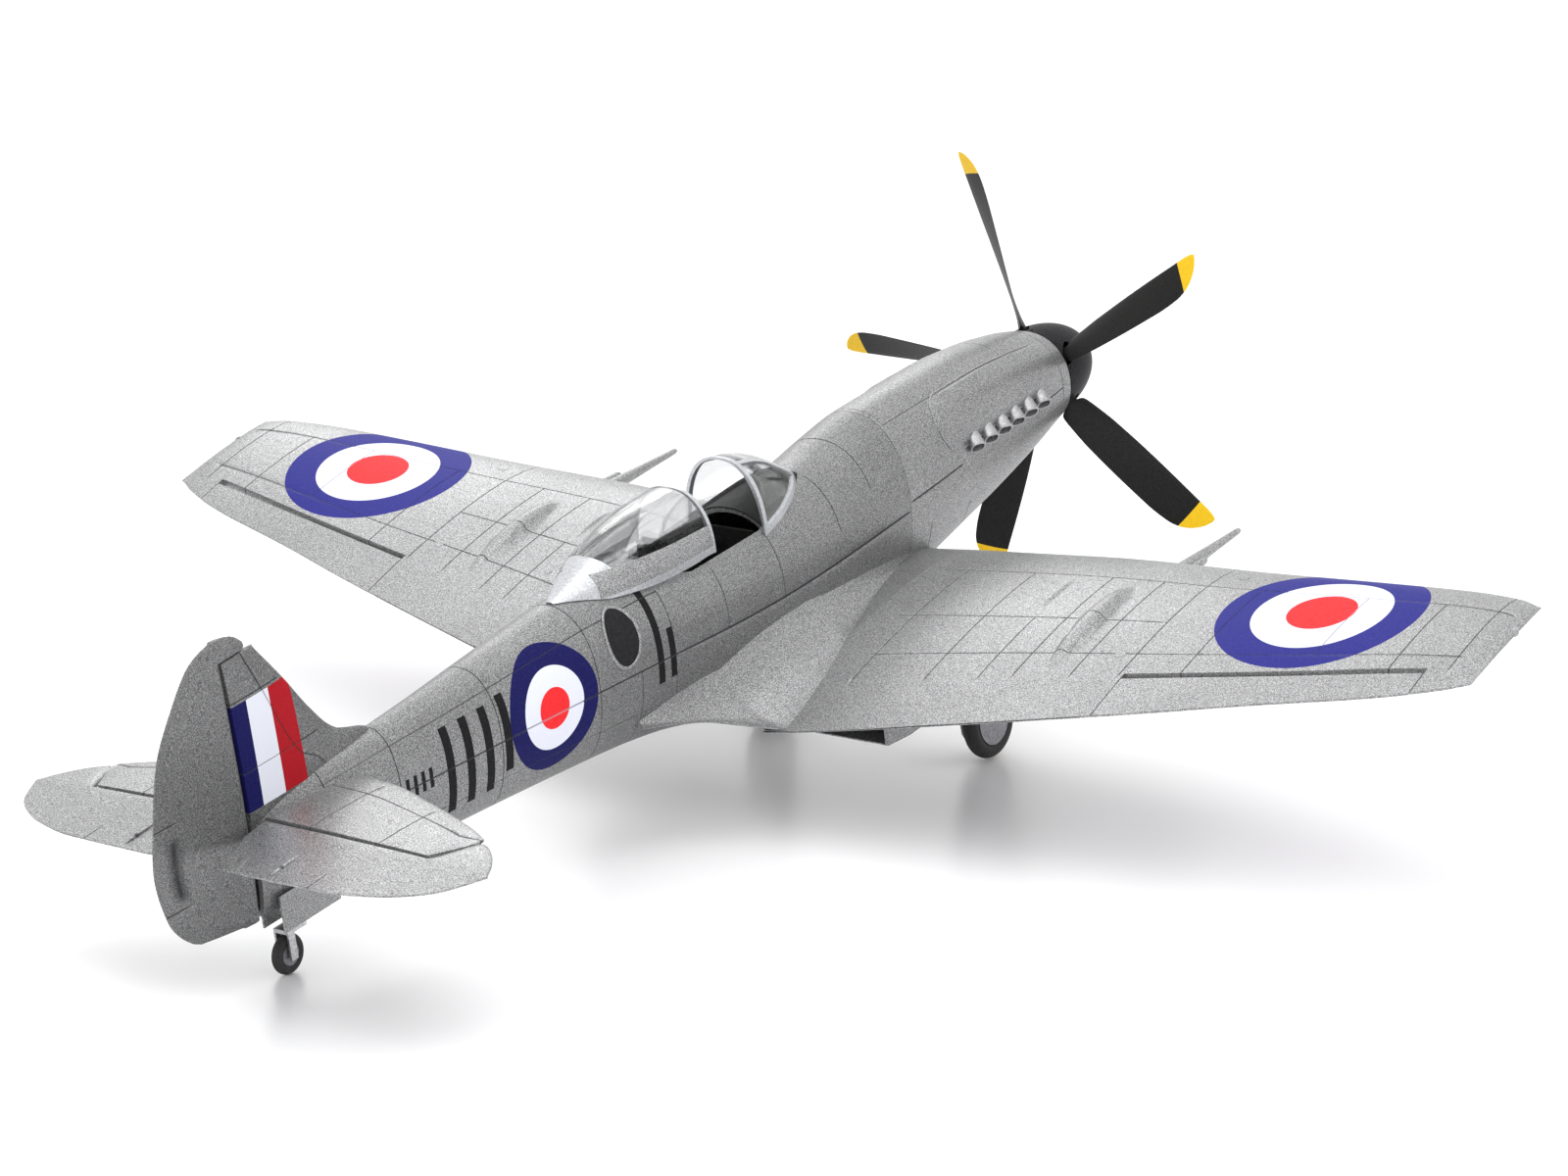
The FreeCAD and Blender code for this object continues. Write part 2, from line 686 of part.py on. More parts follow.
def largest(shape):
    return max(shape.Solids, key=lambda s: s.Volume)


def retract_units():
    """Block with two cheeks that carry the leg's pin."""
    unit = block((56, 281, -70.5), (88, 305, -50))
    room = block((72, 284.2, -80), (95, 301.8, -40))
    bore = rod(GEAR_PIVOT - TRUNNION * 30, GEAR_PIVOT + TRUNNION * 30,
               dim("axle_radius") + dim("running_gap"))
    return Part.Compound(both_sides(unit.cut([room, bore])))


def gear_leg():
    """Trunnion, oleo strut, piston and axle of the left leg."""
    leg, offset = dim("gear_leg"), dim("wheel_offset")
    trunnion = rod(TRUNNION * -7, TRUNNION * 7, 4.3)
    pin = rod(TRUNNION * -11.5, TRUNNION * 11.5, dim("axle_radius"))
    hold = LEG_DOWN.Rotation
    strut = [rod((0, 0, 0), (58, 0, 0), 3.0),
             rod((56, 0, 0), (leg + 2.6, 0, 0), 2.1),
             rod((56, 0, 0), (60, 0, 0), 3.4),
             rod((leg, 0, 0), (leg, 0, offset + dim("hub_width") / 2 + 1.4), dim("axle_radius"))]
    bars = [placed(bar, FreeCAD.Placement(V(0, 0, 0), hold)) for bar in strut]
    return trunnion.fuse([pin] + bars).removeSplitter().translate(GEAR_PIVOT)


def gear_door():
    """Thin fairing on the inboard face of the left leg, with two standoffs."""
    plate = prism(door_plan(0), -4.9, -3.7)
    return placed(plate, LEG_DOWN)


def radiator_housing(form):
    """Open-ended duct under the wing."""
    sides = [(325, -70), (333, -106), (348, -113.5), (440, -115), (468, -112), (468, -70)]
    wire = Part.makePolygon([V(68, y, z) for y, z in sides + sides[:1]])
    case = Part.Face(wire).extrude(V(65, 0, 0))
    duct = block((70.5, 320, -111), (130.5, 475, -88))
    return largest(case.cut(duct).cut(form))


GUN_BARREL = (V(255, 177, -42), V(255, 276, -41))
GUN_STUB = (V(263.5, 240, -40), V(263.5, 276, -40))


def cannon_sockets():
    """Bores in the leading edge that hold the barrel and the stub."""
    return rod(*GUN_BARREL, 4.9).fuse(rod(*GUN_STUB, 2.7))


def cannon():
    """Long tapered barrel with a bored muzzle, and the short stub beside it."""
    start, end = GUN_BARREL
    barrel = rod(start, end, 2.3, 4.6).cut(rod(start - V(0, 1, 0), start + V(0, 10, 0), 1.3))
    return [barrel, rod(*GUN_STUB, 2.6)]


def wingtip_light(form):
    spot = wing_point(560, 0.35, 0)
    return largest(Part.makeSphere(3.4, spot).cut(form))


# ---------------------------------------------------------------- tail
def rudder_gauge(height):
    return value([(-41, 3.4), (0, 5.0), (40, 5.4), (100, 4.4), (133, 3.2)], height)


def rudder():
    hinge = dim("rudder_hinge")
    sections = []
    for height, back in RUDDER_BACK:
        sections.append(teardrop(V(0, hinge, height), rudder_gauge(height), back - hinge,
                                 V(1, 0, 0), V(0, 1, 0)))
    balance = [(974, 132.8), (945, 134.6), (950, 141), (962, 146.6), (980, 145), (1002, 132.8)]
    wire = Part.makePolygon([V(-2.4, y, z) for y, z in balance + balance[:1]])
    horn = Part.Face(wire).extrude(V(4.8, 0, 0))
    return Part.makeLoft(sections, True, True).fuse([horn, RUDDER_LINK.horn()])


def fin(body_form):
    hinge = dim("rudder_hinge")
    sections = []
    for height, front in FIN_FRONT:
        gauge = rudder_gauge(height)
        sections.append(half_lens(V(0, front, height), V(0, hinge - gauge - 0.9, height),
                                  gauge, V(1, 0, 0)))
    return largest(Part.makeLoft(sections, True, True).cut(body_form))


def elevator_gauge(span):
    return value([(9, 5.0), (43, 4.9), (105, 4.1), (140, 3.3), (180, 1.6)], span)


def elevators():
    """Both elevators and the rod that joins them through the fuselage."""
    hinge, level = dim("elevator_hinge"), dim("tailplane_height")
    sections = []
    for span, back in ELEVATOR_BACK:
        sections.append(teardrop(V(span, hinge, level), elevator_gauge(span), back - hinge,
                                 V(0, 0, 1), V(0, 1, 0)))
    balance = [(139, 961), (155.5, 925), (172, 938), (182, 952), (186, 962), (182, 975), (139, 985)]
    half = Part.makeLoft(sections, True, True).fuse(prism(balance, level - 1.6, level + 1.6))
    room = prism([(0, 978), (9.5, 978), (25, 1022), (0, 1022)], level - 12, level + 12)
    half = half.cut(room)
    joiner = rod((-12, hinge, level), (12, hinge, level), 2)
    return half.fuse([mirrored(half), joiner, ELEVATOR_LINK.horn()])


def tailplane(body_form):
    hinge, level = dim("elevator_hinge"), dim("tailplane_height")
    sections = []
    for span in (4, 42, 85, 120, 137):
        gauge = elevator_gauge(span)
        sections.append(half_lens(V(span, value(TAIL_FRONT, span), level),
                                  V(span, hinge - gauge - 0.9, level), gauge, V(0, 0, 1)))
    sections.append(half_lens(V(150.5, 919.3, level), V(150.5, 932, level), 2.2, V(0, 0, 1)))
    half = largest(Part.makeLoft(sections, True, True).cut(body_form))
    return Part.Compound(both_sides(half))


def tail_wheel_strut():
    station, axle, height = (dim("tail_pivot_station"), dim("tail_axle_station"),
                             dim("tail_axle_height"))
    post = rod((0, station, -24), (0, station, -59), 2.2)
    bridge = block((-6.2, station - 3, -60.2), (6.2, axle + 3, -57.4))
    fork = both_sides(block((4.7, axle - 3, height - 3), (6.2, axle + 3, -57.4)))
    pin = rod((-6.2, axle, height), (6.2, axle, height), 1.2)
    return post.fuse([bridge, pin] + fork).removeSplitter()


def tail_wheel_doors(body_form):
    plate = block((8.3, 904, -55.5), (9.5, 958, -30)).cut(body_form)
    return Part.Compound(both_sides(largest(plate)))


# ---------------------------------------------------------------- cockpit
def arch(station, half, base, top, inset):
    """Half-oval section with a straight sill."""
    half, top = max(half - inset, 0.4), top - inset
    base = base - (8 if inset else 0)
    rim = []
    for i in range(13):
        angle = math.pi * i / 12
        rim.append(V(half * power(math.cos(angle), 0.85), station,
                     base + (top - base) * abs(math.sin(angle)) ** 0.85))
    return Part.Wire([open_curve(rim), Part.makeLine(rim[-1], rim[0])])


CANOPY_HALF = [(0, 34.5), (40, 34), (80, 29), (110, 20.5), (130, 11.5), (143, 5)]
CANOPY_TOP = [(0, 81.5), (30, 81), (60, 77.5), (90, 70), (115, 60.5), (130, 54), (143, 49.5)]
CANOPY_BASE = [(0, 36.5), (60, 37), (100, 40), (143, 44)]
SCREEN_HALF = [(373, 13), (390, 22), (410, 28), (430, 32), (452, 34.5)]
SCREEN_TOP = [(373, 44), (390, 55), (410, 67.5), (430, 77), (452, 81.5)]


def canopy_form(inset):
    front, length = dim("canopy_front"), dim("canopy_length")
    steps = [-3 if inset else 0, 20, 40, 60, 80, 95, 110, 122, 133, length - 2 * inset]
    rings = [arch(front + s, value(CANOPY_HALF, s), value(CANOPY_BASE, s), value(CANOPY_TOP, s),
                  inset) for s in steps]
    return Part.makeLoft(rings, True, False)


def canopy(body_form):
    """Clear bubble and its metal frame, trimmed to clear the deck as it slides."""
    front, travel = dim("canopy_front"), dim("canopy_travel")
    shell = canopy_form(0).cut(canopy_form(dim("canopy_wall")))
    for share in (0, 0.33, 0.67, 1):
        shell = shell.cut(body_form.translated(V(0, travel * share, 0.5)))
    shell = largest(shell)
    rail = Part.makePolygon([V(-60, front - 5, 0), V(-60, front - 5, 43.5), V(-60, front + 90, 45),
                             V(-60, front + 112, 90), V(-60, front + 160, 90),
                             V(-60, front + 160, 0), V(-60, front - 5, 0)])
    metal = Part.Face(rail).extrude(V(120, 0, 0))
    metal = metal.fuse(block((-60, front - 5, 0), (60, front + 3, 100)))
    return shell.cut(metal), shell.common(metal)


def windscreen(body_form):
    """Fixed screen: rear hoop, sill and two front posts in metal, the rest clear."""
    front, back = dim("windscreen_front"), dim("windscreen_back")

    def form(inset):
        steps = [front + inset * 2, 382, 394, 408, 424, 438, back + (2 if inset else 0)]
        rings = [arch(s, value(SCREEN_HALF, s), 26, value(SCREEN_TOP, s), inset) for s in steps]
        return Part.makeLoft(rings, True, False)

    shell = largest(form(0).cut(form(dim("canopy_wall"))).cut(body_form))
    hoop = block((-60, back - 4.5, 0), (60, back + 4, 100))
    sill = hull(350, 470, 3.5)
    posts = [block((x, front - 5, 0), (x + 3, back, 100)) for x in (12.5, -15.5)]
    metal = sill.fuse([hoop] + posts)
    return shell.cut(metal), shell.common(metal)


def cockpit_tub():
    outer = block((-28, 449, -8), (28, 559.5, 27.5))
    return outer.cut(block((-26.5, 450.5, -6.5), (26.5, 558, 40)))


def pilot_seat():
    pan = block((-12, 500, -6.4), (12, 526, -2))
    back = block((-12, 526, -6.4), (12, 530, 24))
    rest = block((-7, 540, -6.4), (7, 545, 52)).fuse(block((-7, 536, 42), (7, 541, 52)))
    bulkhead = block((-24, 545, -6.4), (24, 547, 36))
    return Part.Compound([pan.fuse(back).removeSplitter(), rest.fuse(bulkhead).removeSplitter()])


def instrument_panel():
    board = block((-25, 453, -2), (25, 455.5, 30))
    stick = rod((0, 482, -6.1), (0, 486, 12), 1.5)
    dials = [rod((x, 455.4, z), (x, 456.3, z), 3.6) for x in (-16, -5.4, 5.4, 16) for z in (9, 19)]
    return Part.Compound([board.fuse(dials).removeSplitter(), stick])


def camera_port():
    """Round window on the right side of the rear deck."""
    disc = rod((-60, 631, 29), (-15, 631, 29), 7.5)
    return largest(disc.common(hull(600, 660, 0.9)).cut(hull(600, 660, 0.1)))


# ---------------------------------------------------------------- document objects
LEVEL = FreeCAD.Placement()
subparts = []


def keep(item, label, local=LEVEL):
    """Note a document object as a sub-part, with its place in the aircraft frame."""
    item.Label = label
    subparts.append((item, local))
    return item


def feature(label, shape):
    item = doc.addObject("Part::Feature", label)
    moved = not shape.Placement.isIdentity()
    item.Shape = Part.Compound([shape]) if moved else shape
    return keep(item, label)


def bind(item, prop, formula):
    item.setExpression(prop, formula)


def box_part(label, sizes, corner):
    """Plain box whose three sizes are sheet formulas."""
    item = doc.addObject("Part::Box", label)
    for prop, formula in zip(("Length", "Width", "Height"), sizes):
        bind(item, prop, formula)
    return keep(item, label, FreeCAD.Placement(V(*corner), FreeCAD.Rotation()))


def turned_body(label, local, draw):
    """Body turned about its own Y axis from a sketch on its XY plane."""
    body = doc.addObject("PartDesign::Body", label)
    sketch = body.newObject("Sketcher::SketchObject", label + "_section")
    plane = next(o for o in body.Origin.OriginFeatures if o.Role == "XY_Plane")
    sketch.AttachmentSupport = [(plane, "")]
    sketch.MapMode = "FlatFace"
    draw(sketch)
    turn = body.newObject("PartDesign::Revolution", label + "_turn")
    turn.Profile = sketch
    turn.ReferenceAxis = (sketch, ["V_Axis"])
    turn.Angle = 360
    body.Tip = turn
    return keep(body, label, local)


def constrain(sketch, name, formula, *details):
    index = sketch.addConstraint(Sketcher.Constraint(*details, 1.0))
    sketch.renameConstraint(index, name)
    sketch.setExpression("Constraints." + name, formula)


def draw_tyre(radius, bead, seat):
    """Round tyre section with a flat seat on the hub."""
    def draw(sketch):
        sketch.addGeometry(Part.ArcOfCircle(Part.Circle(V(22, 0, 0), V(0, 0, 1), 6), -2.4, 2.4))
        start, end = sketch.Geometry[0].StartPoint, sketch.Geometry[0].EndPoint
        sketch.addGeometry(Part.LineSegment(end, start))
        for arc_end, line_end in ((2, 1), (1, 2)):
            sketch.addConstraint(Sketcher.Constraint("Coincident", 0, arc_end, 1, line_end))
        sketch.addConstraint(Sketcher.Constraint("PointOnObject", 0, 3, -1))
        sketch.addConstraint(Sketcher.Constraint("Vertical", 1))
        constrain(sketch, "ring", f"Dims.{radius} - Dims.{bead}", "DistanceX", -1, 1, 0, 3)
        constrain(sketch, "bead", f"Dims.{bead}", "Radius", 0)
        constrain(sketch, "seat", seat, "DistanceX", -1, 1, 1, 1)
    return draw


def draw_hub(width, bore, rim):
    """Rectangular hub section, from the bore to the tyre's seat."""
    def draw(sketch):
        corners = [V(2, -5, 0), V(17, -5, 0), V(17, 5, 0), V(2, 5, 0)]
        for first, second in zip(corners, corners[1:] + corners[:1]):
            sketch.addGeometry(Part.LineSegment(first, second))
        for i in range(4):
            sketch.addConstraint(Sketcher.Constraint("Coincident", i, 2, (i + 1) % 4, 1))
            sketch.addConstraint(Sketcher.Constraint("Horizontal" if i % 2 == 0 else "Vertical", i))
        constrain(sketch, "bore", bore, "DistanceX", -1, 1, 0, 1)
        constrain(sketch, "rim", rim, "DistanceX", -1, 1, 1, 1)
        constrain(sketch, "upper", f"Dims.{width} / 2", "DistanceY", -1, 1, 2, 1)
        constrain(sketch, "whole", f"Dims.{width}", "DistanceY", 1, 1, 2, 1)
    return draw


def axle_place(centre, axis):
    return FreeCAD.Placement(centre, FreeCAD.Rotation(V(0, 1, 0), axis))


def wheels():
    """Tyre and hub of each main wheel, and of the tail wheel."""
    outward = LEG_DOWN.Rotation.multVec(V(0, 0, 1))
    centre = LEG_DOWN.multVec(V(dim("gear_leg"), 0, dim("wheel_offset")))
    seat = "Dims.tyre_radius - 1.7 * Dims.tyre_bead"
    bore = "Dims.axle_radius + Dims.running_gap"
    for side, name in ((1, "left"), (-1, "right")):
        local = axle_place(V(side * centre.x, centre.y, centre.z),
                           V(side * outward.x, outward.y, outward.z))
        turned_body("main_tyre_" + name, local, draw_tyre("tyre_radius", "tyre_bead", seat))
        turned_body("main_hub_" + name, local, draw_hub("hub_width", bore, seat))
    local = axle_place(V(0, dim("tail_axle_station"), dim("tail_axle_height")), V(1, 0, 0))
    seat = "Dims.tail_tyre_radius - 1.7 * Dims.tail_tyre_bead"
    turned_body("tail_tyre", local, draw_tyre("tail_tyre_radius", "tail_tyre_bead", seat))
    turned_body("tail_hub", local, draw_hub("tail_hub_width", "1.2 + Dims.running_gap", seat))


def electronics():
    box_part("battery_pack", ("Dims.battery_width", "Dims.battery_length", "Dims.battery_thick"),
             (-dim("battery_width") / 2, dim("battery_station"), dim("battery_floor")))
    box_part("speed_controller", ("Dims.battery_width - 6", "Dims.battery_length / 2",
                                  "Dims.battery_thick / 3"), (-14, 170, -27))
    box_part("receiver", ("Dims.battery_width - 10", "Dims.battery_length * 0.4",
                          "Dims.battery_thick / 2"), (-12, 330, -40))


def build():
    body_form = hull(200, 600, 0.3)
    tail_form = hull(800, dim("fuselage_back"), 0.3)
    form = wing_form()
    left_shell, right_shell = fuselage_halves()
    feature("fuselage_left", left_shell)
    feature("fuselage_right", right_shell)
    cowl = cowl_shell()
    feature("nose_cowl", largest(cowl.cut(hatch_block(0))))
    feature("battery_hatch", largest(cowl.common(hatch_block(dim("hatch_gap")))))
    feature("exhaust_stacks", exhaust_stacks())
    feature("plywood_frame", plywood_frame())
    feature("motor_rotor", motor_rotor())
    feature("motor_stator", motor_stator())
    feature("propeller", propeller())
    feature("spinner_cone", spinner_cone())
    feature("spinner_backplate", spinner_backplate())
    electronics()
    left_wing = wing(form, body_form)
    feature("wing_left", left_wing)
    feature("wing_right", mirrored(left_wing))
    feature("wing_spars", spar_tubes())
    left_aileron = aileron(form)
    feature("aileron_left", left_aileron)
    feature("aileron_right", mirrored(left_aileron))
    left_flap = largest(form.common(flap_wedge(0, 0, 0)))
    feature("flap_left", left_flap)
    feature("flap_right", mirrored(left_flap))
    servos = both_sides(AILERON_LINK.servo()) + [ELEVATOR_LINK.servo(), RUDDER_LINK.servo()]
    feature("servo_cases", Part.Compound(servos))
    for name, link in (("elevator", ELEVATOR_LINK), ("rudder", RUDDER_LINK)):
        feature(name + "_arm", link.arm())
        feature(name + "_pushrod", link.pushrod())
    for side, turn in (("left", lambda s: s), ("right", mirrored)):
        feature("aileron_arm_" + side, turn(AILERON_LINK.arm()))
        feature("aileron_pushrod_" + side, turn(AILERON_LINK.pushrod()))
        feature("gear_leg_" + side, turn(gear_leg()))
        feature("gear_door_" + side, turn(gear_door()))
    feature("retract_units", retract_units())
    wheels()
    housing = radiator_housing(form)
    feature("radiator_housings", Part.Compound(both_sides(housing)))
    feature("radiator_cores", Part.Compound(both_sides(block((71, 392, -110.5), (130, 402, -88.5)))))
    barrels = cannon()
    feature("cannon_barrels", Part.Compound(barrels + [mirrored(b) for b in barrels]))
    feature("wingtip_lights", Part.Compound(both_sides(wingtip_light(form))))
    feature("rudder", rudder())
    feature("fin", fin(tail_form))
    feature("elevators", elevators())
    feature("tailplane", tailplane(tail_form))
    feature("tail_wheel_strut", tail_wheel_strut())
    feature("tail_wheel_doors", tail_wheel_doors(tail_form))
    glass, metal = canopy(hull(440, 700, 0))
    feature("canopy_glass", glass)
    feature("canopy_frame", metal)
    glass, metal = windscreen(hull(dim("fuselage_front"), dim("fuselage_back"), 0.15))
    feature("windscreen_glass", glass)
    feature("windscreen_frame", metal)
    feature("cockpit_tub", cockpit_tub())
    feature("pilot_seat", pilot_seat())
    feature("instrument_panel", instrument_panel())
    feature("camera_port", camera_port())
    doc.recompute()


def extent(shapes):
    """Exact box round shapes, from their fine meshes."""
    points = [p for s in shapes for p in s.tessellate(0.05)[0]]
    lows = V(min(p.x for p in points), min(p.y for p in points), min(p.z for p in points))
    highs = V(max(p.x for p in points), max(p.y for p in points), max(p.z for p in points))
    return lows, highs


def park():
    """Tilt to the ground attitude and centre the origin under the aircraft."""
    tilt = FreeCAD.Placement(V(0, 0, 0), FreeCAD.Rotation(V(1, 0, 0), -dim("ground_pitch")))
    for item, local in subparts:
        item.Placement = tilt.multiply(local)
    doc.recompute()
    lows, highs = extent([item.Shape for item, _ in subparts])
    shift = FreeCAD.Placement(V(0, -(lows.y + highs.y) / 2, -lows.z), FreeCAD.Rotation())
    ground = shift.multiply(tilt)
    for item, local in subparts:
        item.Placement = ground.multiply(local)
    doc.recompute()


def check_and_write():
    faults = [o.Name for o in doc.Objects if "Invalid" in o.State or "Error" in o.State]
    for item, _ in subparts:
        if item.Shape.isNull() or not item.Shape.isValid() or not item.Shape.Solids:
            faults.append(item.Label)
    if faults:
        raise RuntimeError("bad objects: " + ", ".join(faults))
    os.makedirs("parts", exist_ok=True)
    for item, _ in subparts:
        item.Shape.exportStep("parts/" + item.Label + ".step")


build()
park()
check_and_write()
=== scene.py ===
import json
import math

import bmesh
import bpy
from mathutils import Matrix, Vector


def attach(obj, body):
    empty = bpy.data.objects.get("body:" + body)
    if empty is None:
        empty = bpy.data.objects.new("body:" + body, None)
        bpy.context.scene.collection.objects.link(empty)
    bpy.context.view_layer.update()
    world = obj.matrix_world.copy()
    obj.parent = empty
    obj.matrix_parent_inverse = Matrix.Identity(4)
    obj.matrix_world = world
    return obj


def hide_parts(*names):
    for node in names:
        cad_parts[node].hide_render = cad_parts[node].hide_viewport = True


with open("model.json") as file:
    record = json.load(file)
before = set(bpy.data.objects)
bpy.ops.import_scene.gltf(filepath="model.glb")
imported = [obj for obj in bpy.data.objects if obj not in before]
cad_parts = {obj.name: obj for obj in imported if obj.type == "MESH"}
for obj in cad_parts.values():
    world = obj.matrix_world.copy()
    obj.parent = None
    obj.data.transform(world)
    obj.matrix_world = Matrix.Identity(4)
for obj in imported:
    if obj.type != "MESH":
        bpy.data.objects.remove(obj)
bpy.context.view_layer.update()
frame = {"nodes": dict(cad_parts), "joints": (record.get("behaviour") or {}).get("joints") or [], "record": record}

# The aircraft is modelled level, in millimetres: +X to port, +Y aft, +Z up. LEVEL_TO_ROW
# tilts it on its wheels exactly as the CAD does. It is worked out from the propeller's joint.
SHAFT_HEIGHT = 4.3
PROP_STATION = 38.5
MM = 0.001


def level_to_row():
    spin = next(j for j in frame["joints"] if j["name"] == "propeller_spin")
    pitch = math.atan2(spin["axis"][2], -spin["axis"][1])
    turn = Matrix.Rotation(-pitch, 4, "X")
    hub = turn @ Vector((0, PROP_STATION * MM, SHAFT_HEIGHT * MM))
    return Matrix.Translation(Vector(spin["pos_m"]) - hub) @ turn


LEVEL_TO_ROW = level_to_row()

# ---------------------------------------------------------------- outlines, as in the CAD
CROWN = [(50, 42.3), (80, 50), (120, 56), (170, 60), (230, 60.5), (280, 60), (320, 55),
         (360, 48), (400, 45), (450, 42), (520, 43), (600, 48), (650, 48), (700, 45),
         (800, 39), (850, 37), (968, 30)]
KEEL = [(50, -33.7), (100, -48), (150, -60), (200, -70), (250, -80), (300, -90), (340, -98),
        (400, -102), (460, -100), (520, -92), (570, -80), (620, -72), (680, -66), (750, -60),
        (820, -55), (880, -50), (968, -41)]
HALF_WIDTH = [(50, 38), (100, 42), (200, 45), (300, 46.5), (400, 47), (500, 45), (600, 40),
              (700, 33), (800, 24.5), (900, 14), (968, 6.5)]
WAIST = [(50, 4.3), (150, 0), (300, -8), (450, -12), (600, -8), (750, -4), (968, -2)]
SQUARENESS = 0.92
WING_FRONT = [(0, 250), (97, 255.5), (199, 258), (338, 274), (439, 284), (504, 292), (545, 303),
              (560, 312)]
WING_BACK = [(0, 470), (40, 484), (70, 518), (76, 533.2), (97, 532.5), (199, 514), (338, 482.5),
             (439, 457), (504, 442), (545, 426), (560, 417)]
WING_TIP = 560.0
TAIL_FRONT = [(0, 872), (42, 876), (85, 890), (132, 909), (150, 919), (155, 923)]
ELEVATOR_BACK = [(9, 1018), (43, 1018), (105, 1017), (140, 1009), (160, 999), (173, 988), (180, 976)]
FIN_FRONT = [(30, 838), (40.4, 848.7), (50.3, 875.7), (72.1, 895.8), (99.1, 914.3), (131, 938)]
RUDDER_BACK = [(-41, 985), (-33.6, 1026.6), (-7.9, 1046.9), (20.8, 1051.7), (55.3, 1045.1),
               (91.4, 1033.7), (123.8, 1010.4), (133, 1002)]
ELEVATOR_HINGE = 961.0
TAIL_LEVEL = 18.0
RUDDER_HINGE = 974.0
FLAP_HINGE = ((76, 485), (308, 448.5))
AILERON_HINGE = ((316, 447.5), (526, 413.7))
GAP = 0.8


def value(outline, station):
    """Smooth value of an outline at a station: cubic pieces that never overshoot."""
    if station <= outline[0][0]:
        return outline[0][1]
    if station >= outline[-1][0]:
        return outline[-1][1]
    steps = [(b[1] - a[1]) / (b[0] - a[0]) for a, b in zip(outline, outline[1:])]
    slopes = [steps[0]]
    for before, after in zip(steps, steps[1:]):
        same_way = before * after > 0
        slopes.append(2 * before * after / (before + after) if same_way else 0.0)
    slopes.append(steps[-1])
    piece = next(i for i, p in enumerate(outline[1:]) if station <= p[0])
    (x0, y0), (x1, y1) = outline[piece], outline[piece + 1]
    width = x1 - x0
    u = (station - x0) / width
    return ((2 * u**3 - 3 * u**2 + 1) * y0 + (u**3 - 2 * u**2 + u) * width * slopes[piece]
            + (3 * u**2 - 2 * u**3) * y1 + (u**3 - u**2) * width * slopes[piece + 1])


def power(number, exponent):
    return math.copysign(abs(number) ** exponent, number)


def smooth(low, high, x):
    """0 below low, 1 above high, with a smooth step between."""
    u = min(1.0, max(0.0, (x - low) / (high - low)))
    return u * u * (3 - 2 * u)


# ---------------------------------------------------------------- materials
class Graph:
    """A new material and short calls for building its nodes."""

    def __init__(self, name, color, metallic, roughness, specular=0.5):
        self.material = bpy.data.materials.new(name)
        self.material.use_nodes = True
        self.tree = self.material.node_tree
        self.shader = self.tree.nodes["Principled BSDF"]
        for socket, item in (("Base Color", (*color, 1)), ("Metallic", metallic),
                             ("Roughness", roughness), ("Specular IOR Level", specular)):
            self.shader.inputs[socket].default_value = item
        self.place = self.node("TexCoord", {}).outputs["Object"]

    def node(self, kind, inputs, **settings):
        """New node; each input is a link, a colour tuple, a vector list or a number."""
        node = self.tree.nodes.new("ShaderNode" + kind)
        for name, setting in settings.items():
            setattr(node, name, setting)
        for socket, item in inputs.items():
            if isinstance(item, bpy.types.NodeSocket):
                self.tree.links.new(item, node.inputs[socket])
            else:
                node.inputs[socket].default_value = (*item, 1) if isinstance(item, tuple) else item
        return node

    def math(self, operation, *values):
        return self.node("Math", dict(enumerate(values)), operation=operation).outputs[0]

    def axes(self):
        return self.node("SeparateXYZ", {0: self.place}).outputs

    def noise(self, scale, detail=3.0, stretch=None):
        place = self.place
        if stretch:
            place = self.node("Mapping", {"Vector": place, "Scale": stretch}).outputs[0]
        return self.node("TexNoise", {"Vector": place, "Scale": scale, "Detail": detail}).outputs[0]

    def ramp(self, source, stops):
        node = self.node("ValToRGB", {0: source})
        while len(node.color_ramp.elements) < len(stops):
            node.color_ramp.elements.new(0.5)
        for element, (position, color) in zip(node.color_ramp.elements, stops):
            element.position = position
            element.color = (*color, 1)
        return node.outputs[0]

    def span(self, source, low, high):
        """Map 0..1 to low..high."""
        return self.node("MapRange", {"Value": source, "To Min": low, "To Max": high}).outputs[0]

    def mix(self, share, first, second, blend="MIX"):
        node = self.node("Mix", {0: share, 6: first, 7: second}, data_type="RGBA", blend_type=blend)
        return node.outputs[2]

    def bump(self, height, strength, distance):
        node = self.node("Bump", {"Height": height, "Strength": strength, "Distance": distance})
        self.set("Normal", node.outputs[0])

    def set(self, socket, source):
        self.tree.links.new(source, self.shader.inputs[socket])


NAVY = (0.018, 0.018, 0.21)
# the next two are darker copies of NAVY and DECAL_RED: painted shade on the fuselage's side and on the fin
PAINTED_SHADE_NAVY = (0.007, 0.007, 0.085)
PAINTED_SHADE_RED = (0.40, 0.008, 0.016)
DECAL_WHITE = (0.74, 0.76, 0.84)
DECAL_RED = (0.80, 0.010, 0.012)
BLACK_INK = (0.008, 0.008, 0.009)
# near-black mixed into the silver in the panel lines: painted shade in the grooves
GROOVE_PAINTED_SHADE = (0.018, 0.018, 0.02)
SILVER_TINT = (0.985, 0.99, 1.0)
SILVER_GRAIN = [(0.36, 0.20), (0.5, 0.42), (0.64, 0.72)]    # noise level and brightness


def disc_mask(graph, pair, centre, radius):
    """1 inside a circle in the plane of two axes. Sizes in millimetres."""
    sides = [graph.math("SUBTRACT", axis, middle * MM) for axis, middle in zip(pair, centre)]
    squares = [graph.math("MULTIPLY", side, side) for side in sides]
    return graph.math("LESS_THAN", graph.math("ADD", *squares), (radius * MM) ** 2)


def bar_mask(graph, pair, centre, half):
    """1 inside an upright rectangle in the plane of two axes."""
    return graph.math("MULTIPLY", *(graph.math("COMPARE", axis, middle * MM, reach * MM)
                                    for axis, middle, reach in zip(pair, centre, half)))


